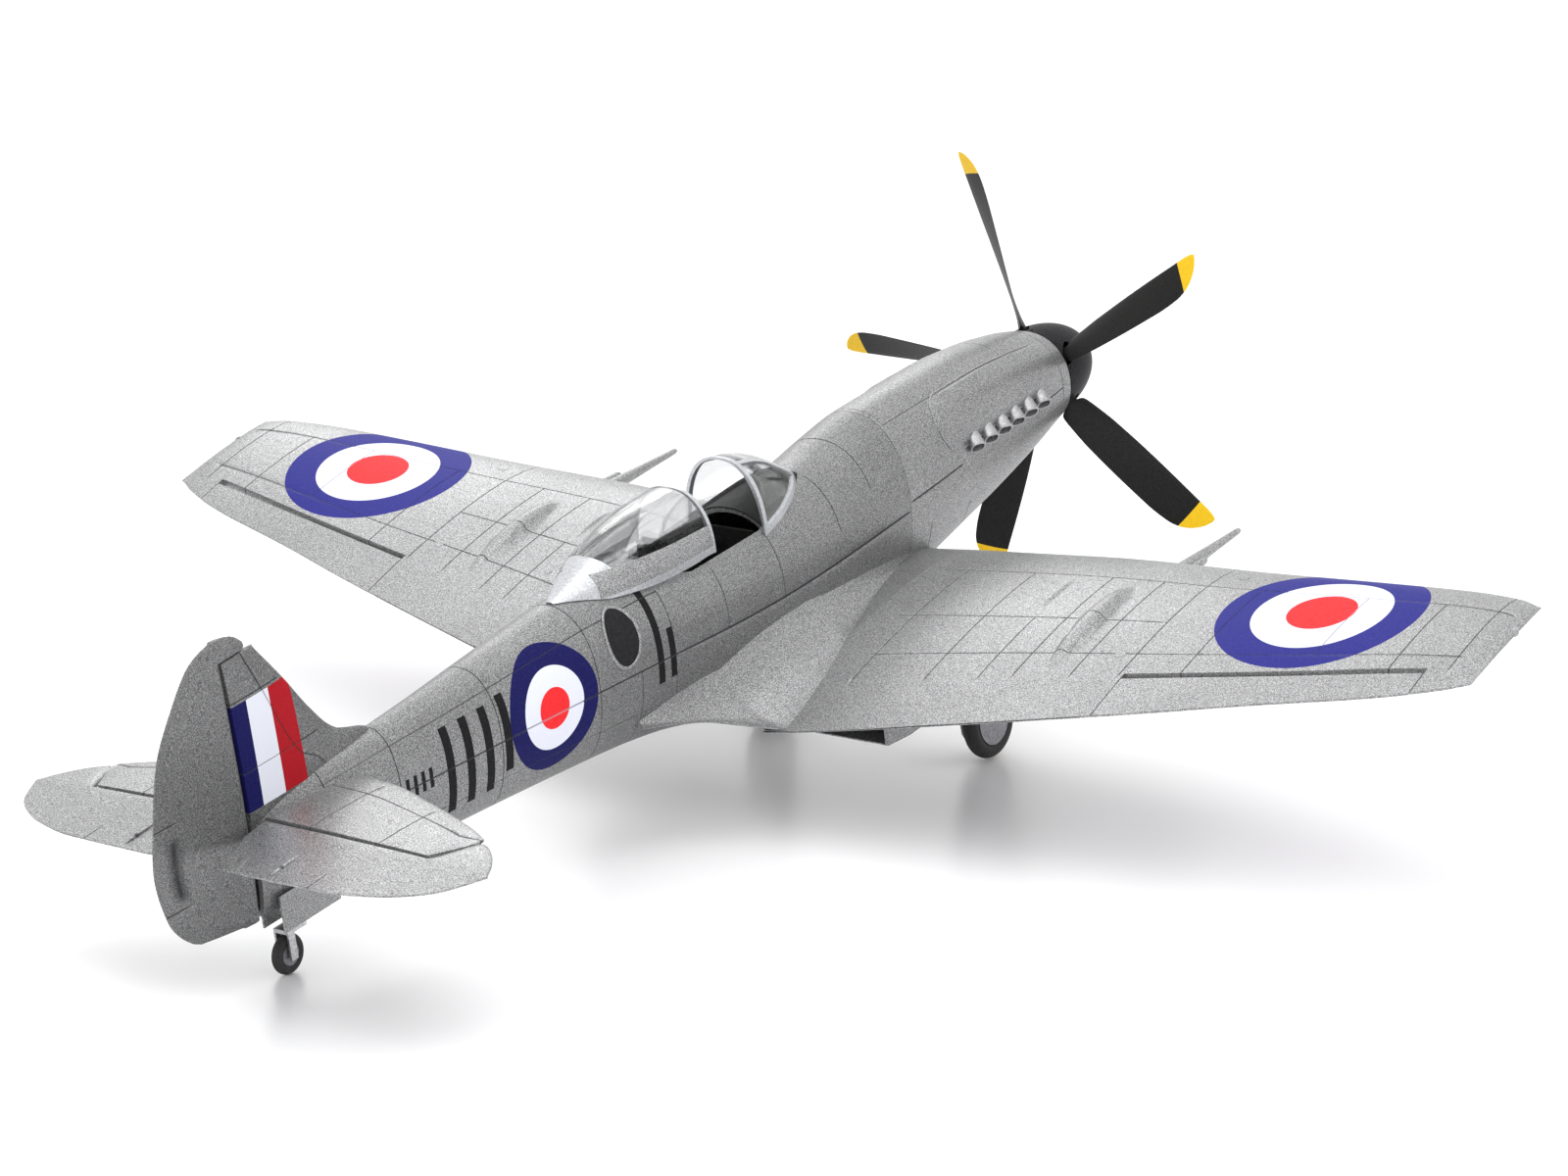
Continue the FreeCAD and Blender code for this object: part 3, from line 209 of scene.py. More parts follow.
def roundel(plane, centre, radius, edge=NAVY):
    """Marks for three concentric discs, the largest first."""
    rings = ((1.0, edge), (2 / 3, DECAL_WHITE), (1 / 3, DECAL_RED))
    return [(disc_mask, plane, centre, radius * share, color) for share, color in rings]


def silver_paint(name, marks, painted_shade_tone):
    """Grainy aluminium lacquer with flat printed marks; the panel lines are darker, painted shade in the grooves.
    """
    graph = Graph(name, (0.5, 0.51, 0.53), 0.6, 0.4, 0.03)
    # the tone scales the whole silver's brightness; below the wings' 0.80 it is painted shade
    stops = [(place, tuple(level * painted_shade_tone * tint for tint in SILVER_TINT)) for place, level in SILVER_GRAIN]
    grain = graph.ramp(graph.noise(1250, 2.0), stops)
    cloud = graph.ramp(graph.noise(9, 4.0), [(0.3, (0.86,) * 3), (0.7, (1.0,) * 3)])
    groove = graph.node("Attribute", {}, attribute_name="groove").outputs["Fac"]
    # painted shade: the panel-line grooves are darkened towards near-black
    color = graph.mix(graph.math("MULTIPLY", groove, 0.9), graph.mix(1.0, grain, cloud, "MULTIPLY"),
                      GROOVE_PAINTED_SHADE)
    metal = graph.math("MULTIPLY", graph.math("SUBTRACT", 1.0, groove), 0.62)
    axis = dict(zip("xyz", graph.axes()))
    for mask_of, plane, centre, size, ink in marks:
        mask = mask_of(graph, [axis[letter] for letter in plane], centre, size)
        worn = graph.math("MULTIPLY", mask, graph.span(graph.noise(600, 2.0), 0.94, 1.0))
        # marks thin out over the grooves, so the painted shade shows through them too
        clear_of_painted_shade = graph.math("SUBTRACT", 1.0, graph.math("MULTIPLY", groove, 0.6))
        color = graph.mix(graph.math("MULTIPLY", worn, clear_of_painted_shade), color, ink)
        metal = graph.math("MULTIPLY", metal, graph.math("SUBTRACT", 1.0, mask))
    graph.set("Base Color", color)
    graph.set("Metallic", metal)
    graph.set("Roughness", graph.span(graph.noise(700, 2.0), 0.30, 0.50))
    graph.bump(graph.noise(1300, 2.0), 0.25, 0.0002)
    return graph.material


def rough_material(name, color, metallic, low, high, scale, bump=0.1, specular=0.5):
    """Plain finish with fine mottling in colour, roughness and relief."""
    graph = Graph(name, color, metallic, (low + high) / 2, specular)
    stops = [(place, tuple(c * level for c in color)) for place, level in ((0.3, 0.75), (0.7, 1.25))]
    graph.set("Base Color", graph.ramp(graph.noise(scale, 4.0), stops))
    graph.set("Roughness", graph.span(graph.noise(scale * 0.6), low, high))
    graph.bump(graph.noise(scale * 2.5), bump, 0.0003)
    return graph.material


def blade_paint():
    """Satin black with yellow tips, by distance from the shaft."""
    graph = Graph("blade_paint", (0.014, 0.014, 0.014), 0.0, 0.42, 0.12)
    x, _, z = graph.axes()
    tip = disc_mask(graph, (x, z), (0, SHAFT_HEIGHT), 164)
    grain = graph.ramp(graph.noise(900), [(0.35, (0.007,) * 3), (0.7, (0.018, 0.0175, 0.017))])
    yellow = graph.ramp(graph.noise(500), [(0.3, (0.78, 0.47, 0.01)), (0.7, (0.86, 0.55, 0.02))])
    graph.set("Base Color", graph.mix(tip, yellow, grain))
    graph.set("Roughness", graph.span(graph.noise(700, 2.0), 0.36, 0.52))
    graph.bump(graph.noise(1200, 2.0), 0.15, 0.0002)
    return graph.material


def clear_glazing():
    graph = Graph("clear_glazing", (0.93, 0.95, 0.96), 0.0, 0.03)
    for socket, item in (("Transmission Weight", 1.0), ("IOR", 1.2), ("Alpha", 0.45)):
        graph.shader.inputs[socket].default_value = item
    graph.set("Roughness", graph.span(graph.noise(40), 0.015, 0.06))
    return graph.material


def plywood_material():
    graph = Graph("plywood", (0.6, 0.42, 0.25), 0.0, 0.6)
    grain = graph.noise(60, 6.0, [1, 14, 1])
    graph.set("Base Color", graph.ramp(grain, [(0.3, (0.42, 0.27, 0.14)), (0.7, (0.70, 0.52, 0.33))]))
    graph.bump(grain, 0.2, 0.0003)
    return graph.material


def carbon_material():
    graph = Graph("carbon_tube", (0.02, 0.02, 0.02), 0.0, 0.3)
    weave = graph.node("TexChecker", {"Vector": graph.place, "Scale": 500,
                                      "Color1": (0.012, 0.012, 0.013), "Color2": (0.05, 0.05, 0.052)})
    graph.set("Base Color", weave.outputs[0])
    return graph.material


# ---------------------------------------------------------------- meshes
def new_object(name, part, weld):
    """Mesh object from millimetres, with its faces turned outwards."""
    mesh = bpy.data.meshes.new(name)
    mesh.from_pydata([(x * MM, y * MM, z * MM) for x, y, z in part[0]], [], part[1])
    work = bmesh.new()
    if weld:
        mesh.validate()
    work.from_mesh(mesh)
    if weld:
        bmesh.ops.remove_doubles(work, verts=work.verts, dist=1e-6)
    bmesh.ops.recalc_face_normals(work, faces=work.faces)
    work.to_mesh(mesh)
    work.free()
    result = bpy.data.objects.new(name, mesh)
    bpy.context.scene.collection.objects.link(result)
    return result


def new_piece(name, part, material, replaced=(), marks=None, body="airframe",
              sharp=35):
    """Visible piece riding on a body; marks gives the panel-line depth (0 to 1) at a point."""
    piece = new_object(name, part, True)
    piece.matrix_world = LEVEL_TO_ROW
    mesh = piece.data
    mesh.materials.append(material)
    bpy.context.view_layer.update()
    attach(piece, body)
    if replaced:
        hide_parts(*replaced)
    if marks:
        depths = [marks(v.co.x / MM, v.co.y / MM, v.co.z / MM) for v in mesh.vertices]
        mesh.attributes.new("groove", "FLOAT", "POINT").data.foreach_set("value", depths)
    mesh.polygons.foreach_set("use_smooth", [True] * len(mesh.polygons))
    mesh.set_sharp_from_angle(angle=math.radians(sharp))


def new_pair(name, part, material, node=None):
    """A port piece and its mirror image, as name_left and name_right."""
    for side, shape in (("_left", part), ("_right", mirrored(part))):
        new_piece(name + side, shape, material, (node + side,) if node else ())


def circle(count):
    """Cosine and sine at equal steps round a circle."""
    return [(math.cos(a), math.sin(a)) for a in (2 * math.pi * i / count for i in range(count))]


def grid(rows, columns, rows_meet=False, columns_meet=True):
    """Quads of a grid of points, row by row; either direction may close on itself."""
    return [(i * columns + j, i * columns + (j + 1) % columns,
             (i + 1) % rows * columns + (j + 1) % columns, (i + 1) % rows * columns + j)
            for i in range(rows if rows_meet else rows - 1)
            for j in range(columns if columns_meet else columns - 1)]


def loft(rings):
    """Capped solid through equal rings of points."""
    rows, count = len(rings), len(rings[0])
    ends = [tuple(range(count)), tuple(reversed(range((rows - 1) * count, rows * count)))]
    return [point for ring in rings for point in ring], grid(rows, count) + ends


def join(parts):
    """One vertex and face list from several."""
    verts, faces = [], []
    for more_verts, more_faces in parts:
        start = len(verts)
        verts.extend(more_verts)
        faces.extend(tuple(start + i for i in face) for face in more_faces)
    return verts, faces


def mirrored(part):
    verts, faces = part
    return [(-x, y, z) for x, y, z in verts], [tuple(reversed(face)) for face in faces]


def both_sides(part):
    return join([part, mirrored(part)])


def square_axes(axis):
    """Unit vectors along an axis and across it."""
    axis = Vector(axis).normalized()
    side = axis.orthogonal().normalized()
    return axis, side, axis.cross(side)


def lathe(profile, centre, axis, steps):
    """Capped solid of revolution through (along, radius) points."""
    axis, side, other = square_axes(axis)
    return loft([[tuple(Vector(centre) + axis * along + (side * c + other * s) * max(radius, 0.001))
                  for c, s in circle(steps)] for along, radius in profile])


def ring_lathe(profile, centre, axis, steps):
    """Ring solid: the profile is a closed loop of (along, radius) points."""
    axis, side, other = square_axes(axis)
    verts = [tuple(Vector(centre) + axis * along + (side * c + other * s) * radius)
             for c, s in circle(steps) for along, radius in profile]
    return verts, grid(steps, len(profile), True)


def slab(low, high):
    (x0, y0, z0), (x1, y1, z1) = low, high
    return prism([(x0, y0), (x1, y0), (x1, y1), (x0, y1)], z0, z1)


def tube(path, radius, steps):
    """Round bar along a list of points."""
    rings = []
    for i, point in enumerate(path):
        way = (path[min(i + 1, len(path) - 1)] - path[max(i - 1, 0)]).normalized()
        side = way.cross(Vector((0.31, 0.17, 0.93))).normalized()
        other = way.cross(side)
        rings.append([tuple(point + (side * c + other * s) * radius) for c, s in circle(steps)])
    return loft(rings)


def carve(part, tools, operation="DIFFERENCE"):
    """Part after boolean cuts."""
    target, *helpers = [new_object("cutter", shape, False) for shape in [part] + tools]
    for helper in helpers:
        change = target.modifiers.new("cut", "BOOLEAN")
        change.operation = operation
        change.solver = "EXACT"
        change.object = helper
    bpy.context.view_layer.update()
    result = target.evaluated_get(bpy.context.evaluated_depsgraph_get()).to_mesh()
    verts = [tuple(v.co / MM) for v in result.vertices]
    faces = [tuple(p.vertices) for p in result.polygons]
    for item in [target] + helpers:
        bpy.data.objects.remove(item)
    return verts, faces


# ---------------------------------------------------------------- panel lines
GROOVE_HALF = 0.55
GROOVE_DEPTH = 0.45


def with_lines(spread, lines, half, clear=1.6):
    """A spread of numbers, with four at each panel line in place of those close to it."""
    kept = [s for s in spread if all(abs(s - line) > clear * half for line in lines)]
    return sorted(set(kept + [line + k * half for line in lines for k in (-1, -0.35, 0.35, 1)]))


def stations(low, high, step, lines):
    """Even steps from low to high, finer at the panel lines."""
    count = round((high - low) / step)
    spread = [round(low + (high - low) * i / count, 4) for i in range(count + 1)]
    return with_lines(spread, [line[0] for line in lines], GROOVE_HALF, 1.4)


def line_depth(offset):
    """1 on a panel line, 0 off it."""
    return 1.0 - smooth(0.35 * GROOVE_HALF, GROOVE_HALF, abs(offset))


def groove_at(lines, across, along, scale=1.0):
    """Depth where lines of (place, start, end) pass."""
    return max((line_depth((across - line) * scale) for line, start, end in lines
                if start <= along <= end), default=0.0)


# ---------------------------------------------------------------- fuselage and cowl
FUSELAGE_RINGS = [(332, 0, 1.15), (378, 0.35, 1.35), (452, 0.75, 1.62), (517, 0.80, 1.62), (576, 0.75, 2.4),
                  (612, 1.62, 2.9), (655, 0, 3.1), (752, 0, 3.1), (845, 0, 3.1), (905, 0, 3.1), (951, 0, 3.1)]
FUSELAGE_STRINGERS = [(0.78, 576, 905), (1.62, 292, 952), (2.12, 540, 905)]
COWL_RINGS = [(62, 0, 3.14), (205, 2.05, 3.14), (262, 1.9, 3.14)]
COWL_STRINGERS = [(1.56, 214, 288), (1.56, 62, 96), (2.45, 62, 262)]
BLISTER_ENDS = (60, 236)            # stations of the rocker blister's ends
BLISTER_ANGLES = (0.56, 1.40)       # its upper and lower edge, as section angles
BLISTER_HEIGHT = 3.6
BLISTER_RISE = (58, 84)             # it grows to its full height between these stations
SECTION_RADIUS = 46.0


def blister_height(station, angle):
    """Outward swelling of the cowl over the exhausts: round aft end, steep rim, soft top edge."""
    middle = (BLISTER_ANGLES[0] + BLISTER_ANGLES[1]) / 2
    half = (BLISTER_ANGLES[1] - BLISTER_ANGLES[0]) / 2 * SECTION_RADIUS
    along = max(0.0, station - (BLISTER_ENDS[1] - half), BLISTER_ENDS[0] - station)
    across = (abs(angle) - middle) * SECTION_RADIUS
    inside = half - math.hypot(along, across)
    if inside <= 0:
        return 0.0
    rim = smooth(0, 3.2, inside)
    crown = 0.72 + 0.28 * smooth(0, half, inside)
    return BLISTER_HEIGHT * rim * crown * smooth(*BLISTER_RISE, station)


def hull_point(station, angle, grow=0.0):
    """Point of the fuselage skin: angle 0 on top, pi below, positive to port."""
    waist = value(WAIST, station)
    rise = power(math.cos(angle), SQUARENESS)
    reach = power(math.sin(angle), SQUARENESS)
    upper = value(CROWN, station) - waist + grow
    lower = waist - value(KEEL, station) + grow
    half = value(HALF_WIDTH, station) + grow
    return Vector((half * reach, station, waist + rise * (upper if rise > 0 else lower)))


def hull_normal(station, angle):
    """Outward direction of the skin, in the plane of the section."""
    before, after = hull_point(station, angle - 0.02), hull_point(station, angle + 0.02)
    along = after - before
    return Vector((-along.z, 0, along.x)).normalized()


def hull_groove(rings, stringers, station, angle):
    angle = abs(angle)
    return max(groove_at(rings, station, angle), groove_at(stringers, angle, station, SECTION_RADIUS))


def hull_skin(front, back, rings, stringers, cowl):
    """Double-walled skin between two stations: the port half, or the whole swollen cowl."""
    angles = with_lines([math.pi * i / 60 for i in range(61)], [s[0] for s in stringers],
                        GROOVE_HALF / SECTION_RADIUS)
    if cowl:
        angles += [-a for a in reversed(angles[1:-1])]
    outer, inner = [], []
    for station in stations(front, back, 4.2, rings):
        outer.append([])
        for angle in angles:
            lift = blister_height(station, angle) if cowl else 0.0
            lift -= GROOVE_DEPTH * hull_groove(rings, stringers, station, angle)
            outer[-1].append(tuple(hull_point(station, angle) + hull_normal(station, angle) * lift))
        inner.append([tuple(hull_point(station, angle, -2.0 if cowl else -4.0)) for angle in angles])
    return double_wall(outer, inner, cowl)


def double_wall(outer, inner, closed=False):
    """Solid between two equal grids; open grids get walls along their edges too."""
    rows, count = len(outer), len(outer[0])
    shift = rows * count
    skin = grid(rows, count, False, closed)
    faces = skin + [(shift + a, shift + d, shift + c, shift + b) for a, b, c, d in skin]
    edges = [(i * count + j, i * count + (j + 1) % count) for i in (0, rows - 1)
             for j in range(count if closed else count - 1)]
    if not closed:
        edges += [(i * count + j, (i + 1) * count + j) for i in range(rows - 1) for j in (0, count - 1)]
    faces += [(a, b, shift + b, shift + a) for a, b in edges]
    return [p for ring in outer + inner for p in ring], faces


def hull_angle(x, station, z):
    """Section angle of a point on the skin."""
    waist = value(WAIST, station)
    half = value(HALF_WIDTH, station)
    high = value(CROWN, station) - waist if z > waist else waist - value(KEEL, station)
    reach = abs(x / half) ** (1 / SQUARENESS)
    rise = power((z - waist) / high, 1 / SQUARENESS)
    return math.atan2(reach, rise)


def side_point(station, height, grow=0.0):
    """Point of the port skin at a height."""
    waist = value(WAIST, station)
    reach = value(CROWN, station) - waist if height > waist else waist - value(KEEL, station)
    share = max(-1.0, min(1.0, (height - waist) / reach))
    angle = math.acos(power(share, 1 / SQUARENESS))
    return hull_point(station, angle) + hull_normal(station, angle) * grow


def hull_marks(rings, stringers):
    """Groove value at a point; zero on the inner wall."""
    def depth_at(x, y, z):
        station = min(max(y, 50), 968)
        angle = hull_angle(x, station, z)
        middle = Vector((0, station, value(WAIST, station)))
        if math.hypot(x, z - middle.z) < 0.93 * (hull_point(station, angle) - middle).length:
            return 0.0
        return hull_groove(rings, stringers, station, angle)
    return depth_at


def prism(outline, low, high):
    """Upright prism over a plan outline."""
    return loft([[(x, y, low) for x, y in outline], [(x, y, high) for x, y in outline]])


COCKPIT_PLAN = [(-1, 447), (25, 447), (29, 449), (30, 454), (30, 535), (27, 550), (20, 559), (10, 562),
                (-1, 562)]
ROD_SLOTS = [((16, 740, 0), (36, 885, 7.5)), ((10.5, 790, -11.5), (31, 940, -4))]


def build_fuselage(paint):
    half = hull_skin(290, 968, FUSELAGE_RINGS, FUSELAGE_STRINGERS, False)
    strut_hole = lathe([(-4, 3.2), (60, 3.2)], (0, 938, -80), (0, 0, 1), 24)
    half = carve(half, [prism(COCKPIT_PLAN, 20, 120), strut_hole])
    left = carve(half, [slab(*s) for s in ROD_SLOTS])
    marks = hull_marks(FUSELAGE_RINGS, FUSELAGE_STRINGERS)
    new_piece("fuselage_skin_left", left, paint, ("fuselage_left",), marks)
    new_piece("fuselage_skin_right", mirrored(half), paint, ("fuselage_right",), marks)


def build_cowl(paint):
    skin = hull_skin(50, 289.6, COWL_RINGS, COWL_STRINGERS, True)
    marks = hull_marks(COWL_RINGS, COWL_STRINGERS)
    shell = carve(skin, [slab((-26, 122, 30), (26, 286, 90))])
    new_piece("cowl_skin", shell, paint, ("nose_cowl",), marks)
    hatch = carve(skin, [slab((-25.5, 122.5, 30), (25.5, 285.5, 90))], "INTERSECT")
    new_piece("hatch_skin", hatch, paint, ("battery_hatch",), marks, "battery_hatch")


def build_blister_bead(paint):
    """Raised edge round the rocker blisters."""
    low, high = BLISTER_ANGLES
    half = (high - low) / 2
    bend = BLISTER_ENDS[1] - half * SECTION_RADIUS
    start = BLISTER_RISE[1]
    straight = [start + (bend - start) * i / 24 for i in range(25)]
    turns = [math.pi * i / 24 for i in range(1, 24)]
    track = [(station, low) for station in straight]
    track += [(bend + half * SECTION_RADIUS * math.sin(a), (low + high) / 2 - half * math.cos(a))
              for a in turns]
    track += [(station, high) for station in reversed(straight)]
    bead = tube([hull_point(s, a) + hull_normal(s, a) * 0.35 for s, a in track], 0.85, 10)
    new_piece("blister_beads", both_sides(bead), paint)


PORT_CENTRE = (623.6, 16.6)         # station and height of the side window
PORT_HALF = (15.5, 20.5)


def build_porthole(glass, metal):
    """Oval window in the starboard side, with a raised rim."""
    def oval(share, c, s, grow):
        return side_point(PORT_CENTRE[0] + PORT_HALF[0] * share * c,
                          PORT_CENTRE[1] + PORT_HALF[1] * share * s, grow)

    rings = [[tuple(oval(share, c, s, -0.6 if share == 1 else 0.3)) for c, s in circle(48)]
             for share in (1.0, 0.97, 0.8, 0.55, 0.3, 0.02)]
    rings.append([(x - 1.5, y, z) for x, y, z in rings[-1]])
    new_piece("side_window", mirrored(loft(rings)), glass, ("camera_port",))
    steps, sides = 64, 10
    verts = [tuple(oval(1, c, s, 0.2) + Vector((0.9 * lift, 1.3 * out * c, 1.3 * out * s)))
             for c, s in circle(steps) for out, lift in circle(sides)]
    new_piece("side_window_rim", mirrored((verts, grid(steps, sides, True))), metal, ("camera_port",))


CANOPY_FRONT = 510
HOOD_SQUARENESS = 0.85
CANOPY_HALF = [(0, 34.5), (40, 34), (80, 29), (110, 20.5), (130, 11.5), (143, 5)]
CANOPY_TOP = [(0, 81.5), (30, 81), (60, 77.5), (90, 70), (115, 60.5), (130, 54), (143, 49.5)]
CANOPY_BASE = [(0, 36.5), (60, 37), (100, 40), (143, 44)]
SCREEN_HALF = [(373, 13), (390, 22), (410, 28), (430, 32), (452, 34.5)]
FAIRING_TOP = [(0, 57), (50, 58.5), (80, 59), (112, 59)]


def build_cockpit_trim(paint, dark):
    """Painted sides of the sliding hood, and the dark coaming under the screen."""
    outer, inner = [], []
    for i in range(41):
        along = 2.5 + 110 * i / 40
        half, base, top = (value(line, along) for line in (CANOPY_HALF, CANOPY_BASE, CANOPY_TOP))
        low, high = (math.asin(min(1.0, max(0.0, (height - base) / (top - base))) ** (1 / HOOD_SQUARENESS))
                     for height in (42.5, value(FAIRING_TOP, along)))
        rows = [low + (high - low) * k / 14 for k in range(15)]
        for grow, wall in ((0.4, outer), (-0.5, inner)):
            wall.append([((half + grow) * power(math.cos(a), HOOD_SQUARENESS), CANOPY_FRONT + along,
                          base + (top + grow - base) * abs(math.sin(a)) ** HOOD_SQUARENESS) for a in rows])
    new_piece("hood_sides", both_sides(double_wall(outer, inner)), paint, body="canopy")
    outer, inner = [], []
    for i in range(19):
        station = 380 + 68.5 * i / 18
        reach = (value(SCREEN_HALF, station) - 3.2) / value(HALF_WIDTH, station)
        limit = math.asin(reach ** (1 / SQUARENESS))
        for grow, wall in ((0.7, outer), (-0.3, inner)):
            wall.append([tuple(hull_point(station, -limit + 2 * limit * k / 20, grow)) for k in range(21)])
    new_piece("coaming", double_wall(outer, inner), dark)


# (share of the length, half width, half height); the last two line the mouth
EXHAUST_PROFILE = [(0, 4.9, 4.9), (0.35, 5.6, 5.2), (0.7, 6.0, 5.3), (0.95, 6.1, 5.4), (1.0, 5.8, 5.1),
                   (1.0, 4.9, 4.2), (0.55, 4.4, 3.6)]


def build_exhausts(metal):
    """Six hollow stubs each side, turned down and aft, each on its plate."""
    stubs, plates = [], []
    for i in range(6):
        station = 103 + 19.6 * i
        base = Vector((hull_point(station, BLISTER_ANGLES[1]).x - 1.5, station - 3, 13.5))
        mouth = base + Vector((8.4, 5.0, -7.0))
        out = (mouth - base).normalized()
        side = out.cross(Vector((0, 0, 1))).normalized()
        up = side.cross(out)
        stubs.append(loft([[tuple(base.lerp(mouth, share) + side * power(c, 0.7) * wide
                                  + up * power(s, 0.7) * tall) for c, s in circle(20)]
                           for share, wide, tall in EXHAUST_PROFILE]))
        plates.append(loft([[(base.x + lift, base.y + c * 8.6, base.z + s * 5.6) for c, s in circle(20)]
                            for lift in (-0.8, 1.6)]))
    for name, parts in (("exhaust_stubs", stubs), ("exhaust_flanges", plates)):
        new_piece(name, both_sides(join(parts)), metal, ("exhaust_stacks",))


# ---------------------------------------------------------------- wings
WING_FRONT_HEIGHT = (-65.0, 0.105)
WING_BACK_HEIGHT = (-93.0, 0.131)
WING_ROOT_RATIO, WING_TIP_RATIO = 0.13, 0.085
WING_CAMBER = 0.015
WING_EDGE = 1.6
HINGE_LINE = [(0, 497), (76, 485), (308, 448.5), (316, 447.5), (526, 413.7), (560, 408.2)]
AILERON_GAP = 6.1
SPAN_LINES = [(0.285, 92, 552), (0.86, 112, 545)]   # fraction of the fixed chord, first and last span
UPPER_LINES = [(0.62, 100, 312)]
CHORD_LINES = [(112, 0.285, 1.0), (168, 0.285, 1.0), (208, 0.62, 1.0), (233, 0.285, 1.0),
               (276, 0.285, 1.0), (312, 0.0, 1.0), (356, 0.285, 1.0), (440, 0.285, 0.86),
               (500, 0.285, 1.0), (541, 0.0, 1.0)]
GUN_BLISTER = (254.3, 334, 440)     # span, first and last station of the upper-wing blister


def wing_frame(span):
    """Leading edge, chord and thickness ratio."""
    reach = min(span, WING_TIP)
    lead = Vector((span, value(WING_FRONT, reach), WING_FRONT_HEIGHT[0] + WING_FRONT_HEIGHT[1] * span))
    trail = Vector((span, value(WING_BACK, reach), WING_BACK_HEIGHT[0] + WING_BACK_HEIGHT[1] * span))
    share = min(span / WING_TIP, 1)
    return lead, trail - lead, WING_ROOT_RATIO * (1 - share) + WING_TIP_RATIO * share


def wing_point(span, share, side, thin=1.0):
    """Point of the wing: side is 1 above, -1 below and 0 between; thin flattens the tip."""
    lead, chord, ratio = wing_frame(span)
    share = max(share, 0.0)
    half = 5 * ratio * (0.2969 * math.sqrt(share) - 0.126 * share - 0.3516 * share**2
                        + 0.2843 * share**3 - 0.1036 * share**4)
    middle = 4 * WING_CAMBER * share * (1 - share)
    lift = (middle + side * half * thin) * chord.length + side * thin * WING_EDGE / 2 * share
    return lead + chord * share + Vector((0, 0, lift))


def wing_share(span, station):
    lead, chord, _ = wing_frame(span)
    return (station - lead.y) / chord.y


def hinge_share(span, ahead):
    return min(0.97, wing_share(span, value(HINGE_LINE, span) - ahead))


def wing_groove(span, fraction, side):
    """Panel-line depth at a span and a fraction of the fixed chord."""
    lines = SPAN_LINES + UPPER_LINES if side > 0 else SPAN_LINES
    return max(groove_at(lines, fraction, span, wing_frame(span)[1].length * 0.8),
               groove_at(CHORD_LINES, span, fraction))


def wing_bump(span, station):
    """Teardrop blister over the gun bay, and a low strake inboard of it."""
    centre, start, end = GUN_BLISTER
    share = (station - start) / (end - start)
    lift = 0.0
    if 0 < share < 1:
        half = 8.5 * math.sin(math.pi * share ** 0.7) ** 0.6 + 0.5
        across = abs(span - centre) / half
        if across < 1:
            lift = 6.2 * math.sin(math.pi * share ** 0.75) ** 0.8 * (1 - across**2.5) ** 0.8
    strake = abs(span - 205)
    if strake < 2 and 330 < station < 368:
        lift += 1.6 * (1 - strake / 2) * smooth(330, 336, station) * (1 - smooth(362, 368, station))
    return lift


FRONT_FRACTIONS = with_lines(
    [0.0, 0.003, 0.01, 0.022, 0.04, 0.065, 0.095, 0.13, 0.16] + [0.24 + 0.034 * i for i in range(23)] + [1.0],
    [line[0] for line in SPAN_LINES + UPPER_LINES], GROOVE_HALF / 160)
AFT_FRACTIONS = [0, 0, 0.2, 0.4, 0.6, 0.8, 0.9, 1.0]


def wing_ring(span, mode):
    """Section loop: upper trailing edge, forward, round the nose and back below."""
    thin = 1.0
    if span > 545:
        thin = math.sqrt(max(0.0, 1 - ((span - 545) / 17.5) ** 2))
    wall = hinge_share(span, AILERON_GAP)
    flap_wall = hinge_share(span, GAP)
    upper, lower = [], []
    for fraction in FRONT_FRACTIONS:
        share = wall * fraction
        for points, side in ((upper, 1), (lower, -1)):
            point = wing_point(span, share, side, thin)
            lift = wing_bump(span, point.y) if side > 0 else 0.0
            lift -= GROOVE_DEPTH * wing_groove(span, fraction, side) * thin
            points.append(point + Vector((0, 0, side * lift)))
    aft = [wall] * len(AFT_FRACTIONS) if mode == "aileron" else [
        flap_wall + (1 - flap_wall) * f for f in AFT_FRACTIONS]
    edge = wing_point(span, 1, 0, thin)
    for index, share in enumerate(aft):
        upper.append(wing_point(span, share, 1, thin))
        point = wing_point(span, share, -1, thin)
        if mode == "flap" and index > 0:
            base = wing_point(span, flap_wall, -1).z + 3.5
            along = (share - flap_wall) / (1 - flap_wall)
            point.z = base + (edge.z + 0.3 - base) * along
        lower.append(point)
    return [tuple(p) for p in reversed(upper)] + [tuple(p) for p in lower[1:]]


def wing_stations():
    """Span stations with their mode; a step in mode repeats the station."""
    spread = stations(30, 545, 3.6, CHORD_LINES)
    spread += [248.5, 250, 251.5, 253, 254.3, 255.6, 257, 258.5, 260, 204, 205, 206, 203, 207]
    spread += [545 + 17.4 * math.sin(math.pi / 2 * i / 8) for i in range(1, 9)]
    marks = [FLAP_HINGE[0][0] - GAP, FLAP_HINGE[1][0] + GAP, AILERON_HINGE[0][0] - GAP,
             AILERON_HINGE[1][0] + GAP]
    spread = sorted(set(round(s, 3) for s in spread if all(abs(s - m) > 0.2 for m in marks)))
    result = []
    for low, high, mode in zip([0] + marks, marks + [600], ["plain", "flap", "plain", "aileron", "plain"]):
        if low:
            result.append((low, mode))
        result.extend((s, mode) for s in spread if low < s < high)
        if high < 600:
            result.append((high, mode))
    return result


def wing_marks(x, y, z):
    span = abs(x)
    share = wing_share(span, y)
    fraction = share / hinge_share(span, AILERON_GAP)
    if fraction > 1.001 or share < 0:
        return 0.0
    middle = wing_point(span, min(1, share), 0).z
    half = wing_point(span, min(1, share), 1).z - middle
    if abs(z - middle) < 0.75 * half:
        return 0.0
    return wing_groove(span, fraction, 1 if z > middle else -1)


GEAR_PIVOT = (81, 293, -66)
GEAR_UP = (-0.118, 0.09, 1)         # square to the folded leg and wheel
GEAR_SWEEP = math.radians(12)


